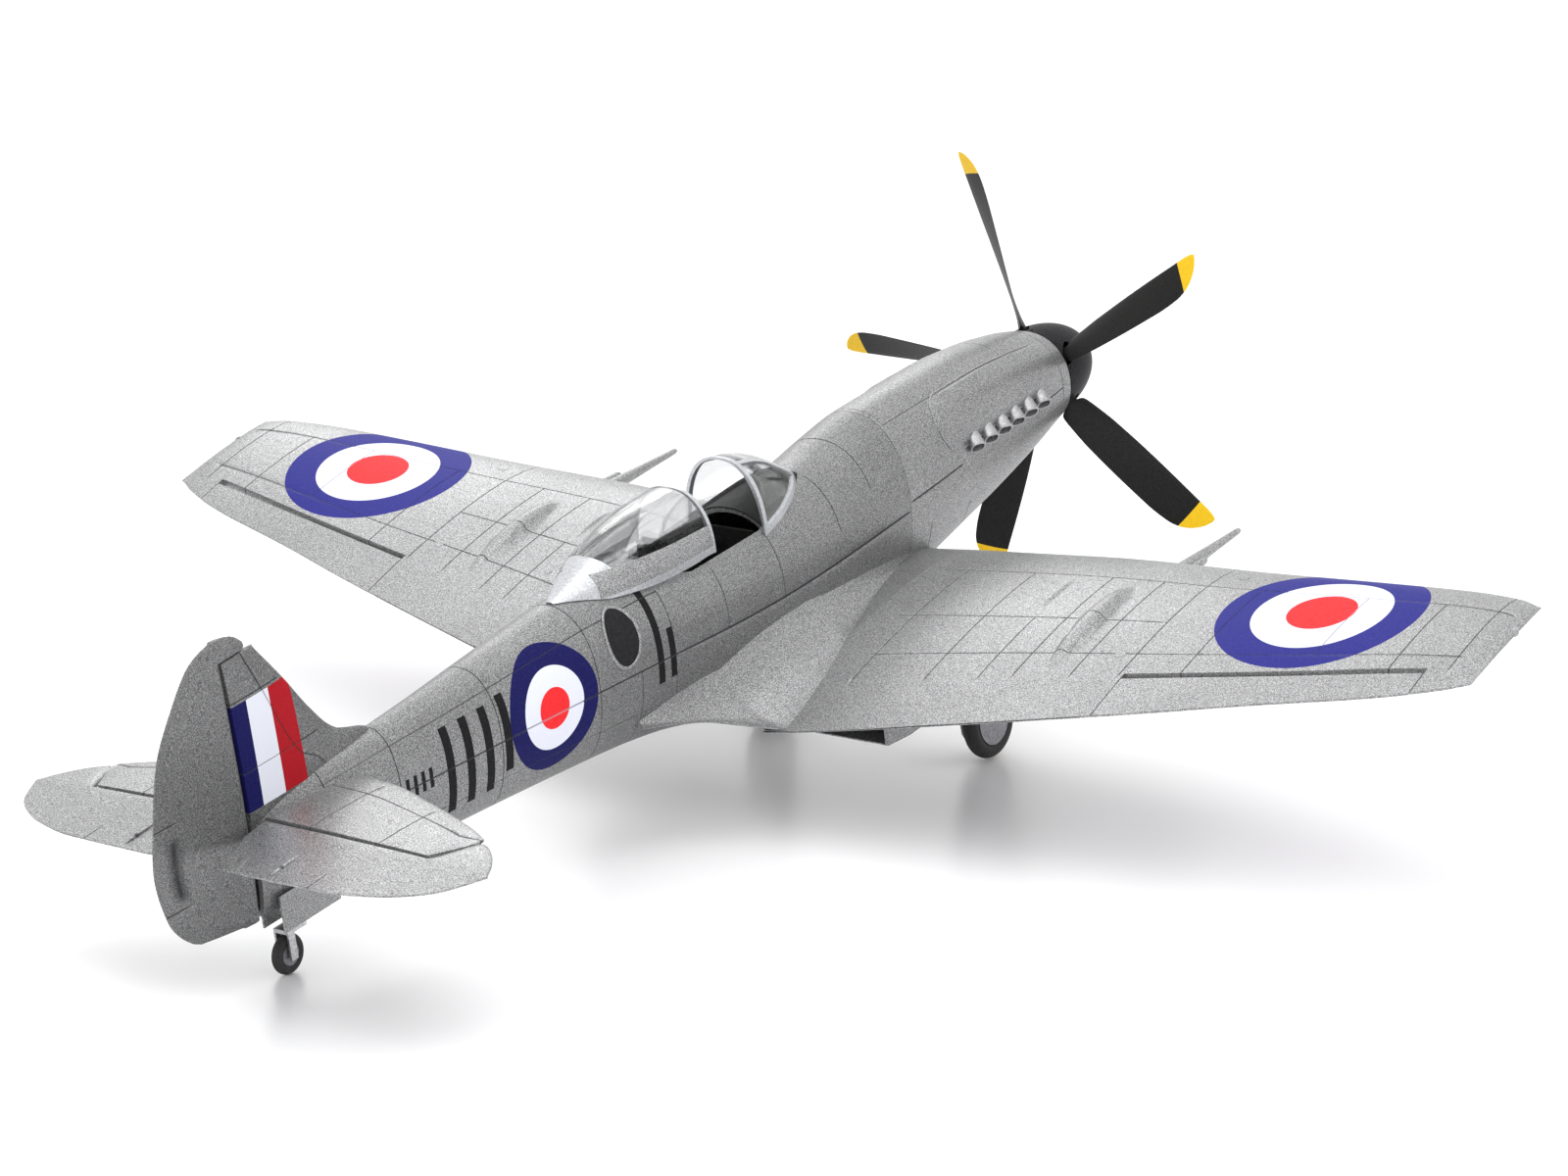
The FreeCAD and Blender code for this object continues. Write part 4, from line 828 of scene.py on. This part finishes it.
def gear_frame():
    """Folded left leg: origin, direction along it, aft in the wing's plane, and up."""
    origin, up = Vector(GEAR_PIVOT), Vector(GEAR_UP).normalized()
    flat = Vector((math.cos(GEAR_SWEEP), math.sin(GEAR_SWEEP), 0))
    along = (flat - up * flat.dot(up)).normalized()
    return origin, along, up.cross(along), up


DOOR_OUTLINE = [(13, 8.5), (66, 9.5), (84, 15), (112, 15), (122, 9)]
LEG_LENGTH = 104.4
WHEEL_OFFSET = 10.0
TYRE_RADIUS = 29.0


def gear_well():
    """Cutters for the folded leg, door and wheel."""
    origin, along, aft, up = gear_frame()
    rim = TYRE_RADIUS + 1.6
    grown = [(u + (1.8 if u > 20 else -1.8), v + 1.8) for u, v in DOOR_OUTLINE]
    shapes = (([(LEG_LENGTH + rim * c, rim * s) for c, s in circle(48)], -14, WHEEL_OFFSET + 7.8),
              (grown + [(u, -v) for u, v in reversed(grown)], -14.5, 6),
              ([(-2, 8), (24, 8), (24, -8), (-2, -8)], -15, 6.2))
    return [loft([[tuple(origin + along * u + aft * v + up * w) for u, v in outline] for w in (low, high)])
            for outline, low, high in shapes] + [slab((55.7, 280.7, -95), (88.3, 305.3, -49.7))]


def build_wings(paint_left, paint_right):
    left = carve(loft([wing_ring(span, mode) for span, mode in wing_stations()]), gear_well())
    new_piece("wing_skin_left", left, paint_left, ("wing_left",), wing_marks, sharp=40)
    new_piece("wing_skin_right", mirrored(left), paint_right, ("wing_right",), wing_marks, sharp=40)


FILLET_EDGE = [(262, 38), (296, 41.5), (527, 93.2), (531, 92.6), (538, 84), (546, 72.5), (556, 61),
               (568, 52.5), (585, 46), (600, 42), (613, 38)]
FILLET_RISE = [(262, 3), (300, 8), (400, 22), (500, 36), (530, 37), (545, 32.5), (560, 26), (585, 16),
               (600, 9.5), (613, 4)]
FILLET_TAIL = [(530, -79.5), (538, -76.8), (546, -73.2), (556, -69), (568, -65), (585, -60.5),
               (600, -56.5), (613, -53.5)]
FILLET_DROP = [(262, 6), (500, 6), (535, 2.0), (613, 1.4)]


def build_fillet(paint):
    """Broad concave fairing between the wing's upper surface and the fuselage."""
    rings = []
    start, end = FILLET_EDGE[0][0], FILLET_EDGE[-1][0]
    for i in range(111):
        station = start + (end - start) * i / 110
        wide = value(FILLET_EDGE, station)
        edge = Vector((wide, station, value(FILLET_TAIL, station)))
        if station <= FILLET_TAIL[0][0]:
            edge.z = wing_point(wide, min(1, wing_share(wide, station)), 1).z
        edge.z += 0.15
        inner = side_point(station, edge.z + value(FILLET_RISE, station), -0.6)
        corner = Vector((inner.x + 0.30 * (edge.x - inner.x), station,
                         edge.z + 0.12 * (inner.z - edge.z)))
        ring = [tuple(inner * (1 - u)**2 + corner * (2 * u * (1 - u)) + edge * u**2)
                for u in (k / 18 for k in range(19))]
        drop = value(FILLET_DROP, station)
        rings.append(ring + [(edge.x - 0.4, station, edge.z - drop * 0.6),
                             (max(inner.x - 3, 5), station, edge.z - drop * 2.2)])
    new_pair("wing_fillet", loft(rings), paint, "fuselage")


GUN_BARREL = [(0, 5.7), (10, 5.4), (35, 4.5), (60, 3.5), (85, 2.7), (96, 2.3), (98.6, 1.6), (99, 1.1),
              (92, 1.0)]
GUN_STUB = [(0, 3.2), (24, 3.1), (32, 2.6), (35.5, 1.7), (36, 1.2), (36, 0)]


def build_guns(metal):
    """Tapered fairing with a rounded, bored muzzle, and a short stub beside it."""
    barrel = lathe(GUN_BARREL, (255, 276, -41), (0, -1, -0.01), 32)
    stub = lathe(GUN_STUB, (263.5, 276, -40), (0, -1, 0), 24)
    new_piece("gun_fairings", both_sides(join([barrel, stub])), metal, ("cannon_barrels",))


WING_COVERS = [(128, 395, 5.5), (138, 398, 5.5), (196, 420, 3.4), (196, 410, 3.4), (150, 300, 6.0),
               (330, 300, 4.5), (300, 420, 4.0)]    # span, station, radius


def build_covers(paint):
    """Thin round covers on the wing's upper surface."""
    parts = []
    for span, station, radius in WING_COVERS:
        share = wing_share(span, station)
        centre = wing_point(span, share, 1)
        ahead = wing_point(span, share + 0.02, 1) - centre
        out = wing_point(span + 5, wing_share(span + 5, station), 1) - centre
        normal = out.cross(ahead).normalized()
        profile = [(0, radius), (1.25, radius), (1.45, radius - 0.25), (1.45, 0)]
        parts.append(lathe(profile, centre - normal * 1.2, normal, 32))
    new_pair("wing_covers", join(parts), paint)


# ---------------------------------------------------------------- tail surfaces
RUDDER_GAUGE = [(-41, 3.4), (0, 5.0), (40, 5.4), (100, 4.4), (133, 3.2), (147, 1.6)]
ELEVATOR_GAUGE = [(9, 5.0), (43, 4.9), (105, 4.1), (140, 3.3), (180, 1.6), (186, 0.9)]
RUDDER_FRONT = [(133, 946), (135, 945), (141, 950), (145, 957), (147, 966)]
RUDDER_TOP_BACK = [(133, 1002), (139, 995), (143, 987), (145.6, 978), (147, 970)]
BALANCE_FRONT = [(139.6, 958.5), (155.5, 925), (163, 929.5), (172, 938), (182, 952), (186.5, 962)]
BALANCE_BACK = [(173, 988), (180, 976), (184.5, 967), (186.5, 963)]
BALANCE_SPANS = [139.6, 142, 146, 151, 155.5, 160, 165, 170, 174, 178, 181, 183.5, 185.5, 186.5]
FIN_LINES = [(57, 0.12, 1.0), (104, 0.1, 1.0)]
FIN_MIDDLE = 0.42                   # lengthwise line, as a share of the chord
TAIL_LINES = [(42, 0.15, 1.0), (98, 0.15, 1.0)]
TAIL_MIDDLE = 0.30
TAIL_CUT, TAIL_END, TAIL_END_BACK = 137, 151.5, 929   # the tip is cut back between these spans
RUDDER_TAB = (-6, 50)               # lowest and highest height
ELEVATOR_TAB = (27, 92, 1004)       # first and last span, front station
HINGE_GAP = 0.9


def surface_section(front, hinge, back, gauge):
    """Loop of (station, lift) round a hinged surface: elliptic nose, straight sides, thin edge."""
    upper = []
    for i in range(10):
        reach = back + (hinge - back) * i / 9
        upper.append((reach, gauge + (0.6 - gauge) * (reach - hinge) / (back - hinge)))
    for i in range(1, 11):
        turn = math.pi / 2 * i / 10
        upper.append((hinge - (hinge - front) * math.sin(turn), max(gauge * math.cos(turn), 0.001)))
    return upper + [(reach, -lift) for reach, lift in reversed(upper[:-1])]


def lens_groove(lines, middle, front, back, along, station):
    """Panel-line depth on a fixed tail surface."""
    share = (station - front) / (back - front)
    return max(groove_at(lines, along, share), line_depth((share - middle) * (back - front)))


def lens_section(lines, middle, front, back, along, gauge):
    """Loop of (station, lift) round a fixed tail surface, with its panel lines sunk."""
    spread = [0, 0.002, 0.008, 0.02, 0.04, 0.07, 0.11, 0.16] + [0.22 + 0.06 * i for i in range(14)]
    upper = []
    for share in reversed(with_lines(spread, [middle], GROOVE_HALF / 70)):
        station = front + (back - front) * share
        depth = GROOVE_DEPTH * lens_groove(lines, middle, front, back, along, station)
        upper.append((station, max(gauge * math.sqrt(share * (2 - share)) - depth, 0)))
    return upper + [(station, -lift) for station, lift in reversed(upper[:-1])]


def fin_ends(height):
    """First and last station of the fin."""
    return (value([(22, 826)] + FIN_FRONT, height),
            RUDDER_HINGE - value(RUDDER_GAUGE, height) - HINGE_GAP)


def build_fin(paint):
    rings = []
    for height in stations(22, 131.5, 3.0, FIN_LINES):
        loop = lens_section(FIN_LINES, FIN_MIDDLE, *fin_ends(height), height, value(RUDDER_GAUGE, height))
        rings.append([(lift, station, height) for station, lift in loop])
    top = value(FIN_FRONT, 131.5)
    rings.append([(x * 0.5, y * 0.98 + top * 0.02, 132.2) for x, y, _ in rings[-1]])
    new_piece("fin_skin", loft(rings), paint, ("fin",),
              lambda x, y, z: lens_groove(FIN_LINES, FIN_MIDDLE, *fin_ends(z), z, y))


def build_rudder(paint):
    """Rudder with its balance at the top and the lever for the rod."""
    rings = []
    for height in ([-42.2] + stations(-41, 132.6, 3.0, [(line,) for line in RUDDER_TAB])
                   + [133.2, 134.5, 137, 140, 142.5, 144.5, 146, 147]):
        gauge = value(RUDDER_GAUGE, height)
        if height < 133:
            front, back = RUDDER_HINGE - gauge, value(RUDDER_BACK, height)
        else:
            front, back = value(RUDDER_FRONT, height), value(RUDDER_TOP_BACK, height)
        if height < -41:
            gauge, front, back = 2.0, 972, 983
        loop = surface_section(front, min(RUDDER_HINGE, (front + back) / 2 + 6), back, gauge)
        rings.append([(x - math.copysign(min(0.35, abs(x)) * rudder_groove(y, height), x), y, height)
                      for y, x in loop])
    rod_arm = lever((0, 974, -10), (0, 0, 1), (1, 0, 0), 16)
    part = join([loft(rings), rod_arm, tab_fairing((3.2, 1004, 30), (1.4, 1046, 30))])
    new_piece("rudder_skin", part, paint, ("rudder",), lambda x, y, z: rudder_groove(y, z), "rudder")


def rudder_groove(station, height):
    """Outline of the trim tab at the trailing edge."""
    low, high = RUDDER_TAB
    front = value(RUDDER_BACK, height) - 17
    depth = line_depth(station - front) if low - 0.5 <= height <= high + 0.5 else 0.0
    if station >= front:
        depth = max(depth, line_depth(height - low), line_depth(height - high))
    return depth


def lever(hinge, axis, down, length):
    """Flat control horn with rounded ends and a drilled eye."""
    hinge, axis, down = Vector(hinge), Vector(axis), Vector(down)
    across = axis.cross(down)
    outline = [(2.2 * math.cos(start + math.pi * i / 8), far + 2.2 * math.sin(start + math.pi * i / 8))
               for far, start in ((length, 0), (0, math.pi)) for i in range(9)]
    rings = [[tuple(hinge + axis * lift + across * u + down * v) for u, v in outline]
             for lift in (-0.8, 0.8)]
    eye = lathe([(-1.2, 0.88), (1.2, 0.88)], hinge + down * length, axis, 16)
    return carve(loft(rings), [eye])


def tab_fairing(start, end):
    """Slim pointed fairing over a tab's rod."""
    start, end = Vector(start), Vector(end)
    length = (end - start).length
    profile = [(length * s, 1.5 * math.sqrt(max(0.0, 1 - (2 * s - 1) ** 2)) ** 0.8 + 0.02)
               for s in (i / 12 for i in range(13))]
    return lathe(profile, start, end - start, 14)


def tail_ends(span):
    """First and last station of the tailplane, whose tip is cut back for the elevator's balance."""
    back = ELEVATOR_HINGE - value(ELEVATOR_GAUGE, min(span, TAIL_CUT)) - HINGE_GAP
    cut = max(0, span - TAIL_CUT) / (TAIL_END - TAIL_CUT)
    return value(TAIL_FRONT, span), back + (TAIL_END_BACK - back) * cut


def build_tailplane(paint):
    rings = []
    for span in stations(4, TAIL_END, 3.2, TAIL_LINES + [(TAIL_CUT,)]):
        gauge = value(ELEVATOR_GAUGE, span) * (1 - 0.45 * smooth(134, TAIL_END, span))
        loop = lens_section(TAIL_LINES, TAIL_MIDDLE, *tail_ends(span), span, gauge)
        rings.append([(span, station, TAIL_LEVEL + lift) for station, lift in loop])
    new_piece("tailplane_skin", both_sides(loft(rings)), paint, ("tailplane",),
              lambda x, y, z: lens_groove(TAIL_LINES, TAIL_MIDDLE, *tail_ends(abs(x)), abs(x), y))


def elevator_groove(span, station):
    """Outline of the trim tab at the trailing edge."""
    low, high, front = ELEVATOR_TAB
    depth = line_depth(station - front) if low - 0.5 <= span <= high + 0.5 else 0.0
    if station >= front:
        depth = max(depth, line_depth(span - low), line_depth(span - high))
    return depth


def build_elevators(paint):
    """Both halves with their balances and tabs, the joiner and the horn."""
    rings = []
    for span in stations(9.5, 139, 3.2, [(line,) for line in ELEVATOR_TAB[:2]]) + BALANCE_SPANS:
        gauge = value(ELEVATOR_GAUGE, span)
        front = ELEVATOR_HINGE - gauge if span <= 139 else value(BALANCE_FRONT, span)
        back = value(ELEVATOR_BACK, span) if span < 173 else value(BALANCE_BACK, span)
        loop = surface_section(front, min(ELEVATOR_HINGE, (front + back) / 2 + 4), back, gauge)
        cut_back = max(0.0, 1 - (span - 9.5) / 40)      # leaves room for the rudder to swing
        rings.append([(span + max(0.0, (y - 978) * 0.36) * cut_back, y,
                       TAIL_LEVEL + lift - math.copysign(0.3 * elevator_groove(span, y), lift))
                      for y, lift in loop])
    half = join([loft(rings), tab_fairing((60, 984, TAIL_LEVEL + 3.2), (60, 1014, TAIL_LEVEL + 1.2))])
    joiner = lathe([(-12, 2), (12, 2)], (0, ELEVATOR_HINGE, TAIL_LEVEL), (1, 0, 0), 24)
    horn = lever((20, ELEVATOR_HINGE, TAIL_LEVEL), (1, 0, 0), (0, 0, -1), 14)
    new_piece("elevator_skins", join([both_sides(half), joiner, horn]), paint, ("elevators",),
              lambda x, y, z: elevator_groove(abs(x), y), "elevators")


# ---------------------------------------------------------------- propeller
BLADES = 5
BLADE_TURNS = [math.radians(15.0 + 360 / BLADES * i) for i in range(BLADES)]
SPINNER_FRONT, SPINNER_BACK, SPINNER_RADIUS = -20.0, 46.4, 37.0
BLADE_CHORD = [(18, 10), (30, 13), (37.5, 14), (38.5, 18.5), (39.5, 21.5), (41, 23.6), (43, 24.8),
               (52, 27), (72, 30), (104, 31), (136, 30.5), (155, 28.4), (164, 25.6), (171, 21.2),
               (176, 15.6), (179.5, 9.6), (181.6, 3.0)]
BLADE_SHIFT = [(18, 0), (136, 0), (155, 0.7), (164, 2.0), (171, 4.1), (176, 6.5), (179.5, 8.8),
               (181.6, 11.0)]
BLADE_THICK = [(18, 8), (34, 7.6), (44, 5.2), (60, 3.4), (100, 2.6), (150, 1.7), (175, 1.0), (181.6, 0.5)]
BLADE_RADII = ([18, 24, 30, 34, 37.5, 38.5, 39.5, 41, 43] + [46 + 4 * i for i in range(28)]
               + [157, 160, 163, 166, 168.5, 171, 173, 175, 177, 178.5, 179.8, 180.8, 181.6])


def blade_point(along, lift, pitch, radius, turn):
    """Point along and across a blade's chord, at a radius and a turn about the shaft."""
    x = along * math.cos(pitch) - lift * math.sin(pitch)
    y = along * math.sin(pitch) + lift * math.cos(pitch)
    return (x * math.cos(turn) + radius * math.sin(turn), PROP_STATION + y,
            SHAFT_HEIGHT - x * math.sin(turn) + radius * math.cos(turn))


def blade(turn):
    """Twisted blade with an aerofoil section and a round root."""
    rings = []
    for radius in BLADE_RADII:
        pitch = math.radians(0.2 * max(radius, 37) - 62.5)
        chord, thick, shift = (value(line, radius) for line in (BLADE_CHORD, BLADE_THICK, BLADE_SHIFT))
        flat = smooth(30, 48, radius)
        ring = []
        for c, s in circle(28):
            lift = thick / 2 * s * (1 - flat * 0.35 * (1 - c)) + flat * 0.015 * chord * (1 - c) / 2
            ring.append(blade_point(shift + chord / 2 * c, lift, pitch, radius, turn))
        rings.append(ring)
    return loft(rings)


def build_propeller(paint):
    hub = lathe([(0, 17), (1.5, 19), (11.5, 19), (13.2, 17.5)], (0, 33, SHAFT_HEIGHT), (0, 1, 0), 48)
    cuffs = [lathe([(16, 7.2), (27, 7.2), (28, 6.4), (28, 5.2)], (0, PROP_STATION, SHAFT_HEIGHT),
                   (math.sin(turn), 0, math.cos(turn)), 28) for turn in BLADE_TURNS]
    part = join([hub] + cuffs + [blade(turn) for turn in BLADE_TURNS])
    new_piece("propeller_blades", part, paint, ("propeller",), None, "propeller")


def spinner_radius(share):
    return SPINNER_RADIUS * math.sin(share * math.pi / 2) ** 0.9


def build_spinner(paint):
    """Pointed cone with a cut-out at each blade, a plate behind it and screws."""
    outer, inner = [], []
    for i in range(1, 41):
        share = (i / 40) ** 1.4
        along = SPINNER_FRONT + (SPINNER_BACK - SPINNER_FRONT) * (1 - math.cos(share * math.pi / 2))
        outer.append((along, spinner_radius(share)))
        inner.append((min(along + 1.5, SPINNER_BACK), max(spinner_radius(share) - 1.5, 0.01)))
    profile = [(SPINNER_FRONT, 0.01)] + outer + inner[::-1] + [(SPINNER_FRONT + 1.5, 0.01)]
    shell = ring_lathe(profile, (0, 0, SHAFT_HEIGHT), (0, 1, 0), 96)
    holes = [loft([[blade_point(11.4 * power(c, 0.8), 5.4 * power(s, 0.8), math.radians(-54), radius, turn)
                    for c, s in circle(32)] for radius in (22, 42)]) for turn in BLADE_TURNS]
    screws = []
    for i in range(10):
        turn = math.radians(15 + 36 * (i + 0.5))
        out = Vector((math.sin(turn), 0, math.cos(turn)))
        spot = Vector((0, SPINNER_BACK - 3.4, SHAFT_HEIGHT)) + out * (SPINNER_RADIUS - 0.5)
        screws.append(lathe([(0, 1.3), (0.75, 1.3), (0.95, 1.0), (0.95, 0)], spot, out, 16))
    plate = lathe([(0.1, 34), (0.1, 36.6), (0.9, 36.9), (2.3, 36.9), (2.6, 36.4), (2.6, 20)],
                  (0, SPINNER_BACK, SHAFT_HEIGHT), (0, 1, 0), 96)
    for name, part, node in (("spinner_shell", join([carve(shell, holes)] + screws), "spinner_cone"),
                             ("spinner_rear_plate", plate, "spinner_backplate")):
        new_piece(name, part, paint, (node,), None, "propeller")


# ---------------------------------------------------------------- assembly
# slot: material name, colour, metallic, lowest and highest roughness, noise scale, relief, specular
PLAIN_FINISHES = {
    "bare_metal_frame": ("frame_metal", (0.52, 0.53, 0.55), 0.75, 0.3, 0.45, 700),
    "exhaust_metal": ("exhaust_metal", (0.36, 0.36, 0.37), 0.8, 0.3, 0.5, 500),
    "black_gloss": ("spinner_black", (0.022, 0.022, 0.024), 0.0, 0.34, 0.46, 500, 0.05, 0.03),
    "cockpit_dark": ("cockpit_dark", (0.010, 0.011, 0.010), 0.0, 0.45, 0.65, 400, 0.1, 0.1),
    "battery_wrap": ("battery_wrap", (0.02, 0.05, 0.22), 0.0, 0.3, 0.45, 200),
    "electronics_plastic": ("electronics_plastic", (0.03, 0.03, 0.035), 0.0, 0.4, 0.55, 400),
    "servo_plastic": ("servo_plastic", (0.02, 0.02, 0.025), 0.0, 0.35, 0.5, 400),
    "steel": ("steel", (0.55, 0.55, 0.56), 0.95, 0.22, 0.38, 600, 0.05),
    "motor_metal": ("motor_metal", (0.35, 0.36, 0.38), 0.9, 0.25, 0.4, 500),
    "tyre_rubber": ("tyre_rubber", (0.022, 0.022, 0.022), 0.0, 0.65, 0.85, 500, 0.2),
    "hub_metal": ("hub_metal", (0.22, 0.22, 0.235), 0.7, 0.35, 0.5, 500),
    "lamp_glass": ("lamp_glass", (0.35, 0.36, 0.37), 0.2, 0.1, 0.2, 200, 0.02),
}


def finish_materials():
    """Materials by slot, given to the CAD nodes that show as they are."""
    table = {slot: rough_material(*finish) for slot, finish in PLAIN_FINISHES.items()}
    table["silver_paint"] = silver_paint("silver_plain", (), 0.80)
    table["clear_glazing"] = clear_glazing()
    table["plywood"] = plywood_material()
    table["carbon"] = carbon_material()
    slots = {s["node"]: s["material_slot"] for s in frame["record"]["subparts"]}
    for name, node in frame["nodes"].items():
        materials = node.data.materials
        if not materials:
            materials.append(table[slots[name]])
        for index in range(len(materials)):
            materials[index] = table[slots[name]]
    return table


def build_stage():
    mesh = bpy.data.meshes.new("floor")
    mesh.from_pydata([(-40, -40, 0), (40, -40, 0), (40, 40, 0), (-40, 40, 0)], [], [(0, 1, 2, 3)])
    mesh.materials.append(Graph("floor_white", (0.93, 0.93, 0.94), 0.0, 0.28).material)
    floor = bpy.data.objects.new("floor", mesh)
    bpy.context.scene.collection.objects.link(floor)


def area_light(name, place, size, watts):
    """Soft light aimed at the middle of the aircraft."""
    data = bpy.data.lights.new(name, "AREA")
    data.shape = "RECTANGLE"
    data.size, data.size_y = size
    data.energy = watts
    light = bpy.data.objects.new(name, data)
    bpy.context.scene.collection.objects.link(light)
    light.location = place
    light.rotation_euler = (Vector((0, 0, 0.2)) - Vector(place)).to_track_quat("-Z", "Y").to_euler()


def build_lights():
    world = bpy.data.worlds.new("studio")
    bpy.context.scene.world = world
    world.use_nodes = True
    back = world.node_tree.nodes["Background"]
    back.inputs["Color"].default_value = (1, 1, 1, 1)
    back.inputs["Strength"].default_value = 1.15
    area_light("overhead", (0.0, 0.2, 2.6), (2.4, 2.4), 26)
    area_light("key", (-1.8, 1.2, 1.9), (1.2, 1.2), 10)
    area_light("rim", (1.6, -1.6, 1.6), (1.2, 0.8), 10)


# where the camera stands, behind and to starboard (metres), and which way it looks
CAMERA_PLACE = (-1.78481, 2.37986, 0.89215)
CAMERA_RIGHT = (-0.81608, -0.57789, -0.00789)
CAMERA_AHEAD = (0.56294, -0.79173, -0.23719)
CAMERA_LENS = 100.751


def build_camera():
    data = bpy.data.cameras.new("camera")
    camera = bpy.data.objects.new("camera", data)
    bpy.context.scene.collection.objects.link(camera)
    data.lens = CAMERA_LENS
    data.sensor_width = 36
    right, ahead = Vector(CAMERA_RIGHT).normalized(), Vector(CAMERA_AHEAD).normalized()
    up = right.cross(ahead).normalized()
    turn = Matrix((right, up, -ahead)).transposed().to_4x4()
    camera.matrix_world = Matrix.Translation(CAMERA_PLACE) @ turn
    bpy.context.scene.camera = camera
    bpy.context.scene.view_settings.view_transform = "Standard"


# station and height of the centre, half width and half height
FUSELAGE_BARS = [((592, 4.5), (3.2, 33)), ((579, -10), (3.2, 18)), ((746, -3), (3.6, 27))]
FUSELAGE_BARS += [((station, -8), (3.6, 30)) for station in (764, 800, 782)]
FUSELAGE_BARS += [((station, -5.5), (1.6, 7)) for station in (818, 825, 832, 839, 849, 856)]
# the navy and red stripes of the fin flash use darker copies of the decal colours: painted shade
FLASH_STRIPES = [(965.3, PAINTED_SHADE_NAVY), (944, DECAL_WHITE), (922.7, PAINTED_SHADE_RED)]


def main():
    table = finish_materials()
    plain, black = table["silver_paint"], table["black_gloss"]
    # the fuselage roundel's navy ring is a darker copy of NAVY: painted shade on the fuselage side
    fuselage_marks = roundel("yz", (699.9, -3.7), 42.8, PAINTED_SHADE_NAVY)
    fuselage_marks += [(bar_mask, "yz", centre, half, BLACK_INK) for centre, half in FUSELAGE_BARS]
    flash = [(bar_mask, "yz", (station, 66.5), (10.7, 35.5), ink) for station, ink in FLASH_STRIPES]
    # tones below 0.80 are painted shade: the fuselage, cowl, fillet, fin and rudder get darker copies of the same
    # silver
    build_fuselage(silver_paint("silver_fuselage", fuselage_marks, 0.58))
    build_cowl(silver_paint("silver_cowl", (), 0.68))
    build_blister_bead(plain)
    build_porthole(black, plain)
    build_cockpit_trim(plain, table["cockpit_dark"])
    build_exhausts(table["exhaust_metal"])
    build_guns(plain)
    build_propeller(blade_paint())
    build_spinner(black)
    build_wings(silver_paint("silver_wing_left", roundel("xy", (416.8, 347.9), 73.3), 0.80),
                silver_paint("silver_wing_right", roundel("xy", (-416.8, 347.9), 73.3), 0.80))
    build_fillet(silver_paint("silver_fillet", (), 0.72))
    build_fin(silver_paint("silver_fin", flash, 0.46))
    build_rudder(silver_paint("silver_rudder", (), 0.46))
    build_tailplane(plain)
    build_elevators(plain)
    build_covers(plain)
    build_stage()
    build_lights()
    build_camera()


main()
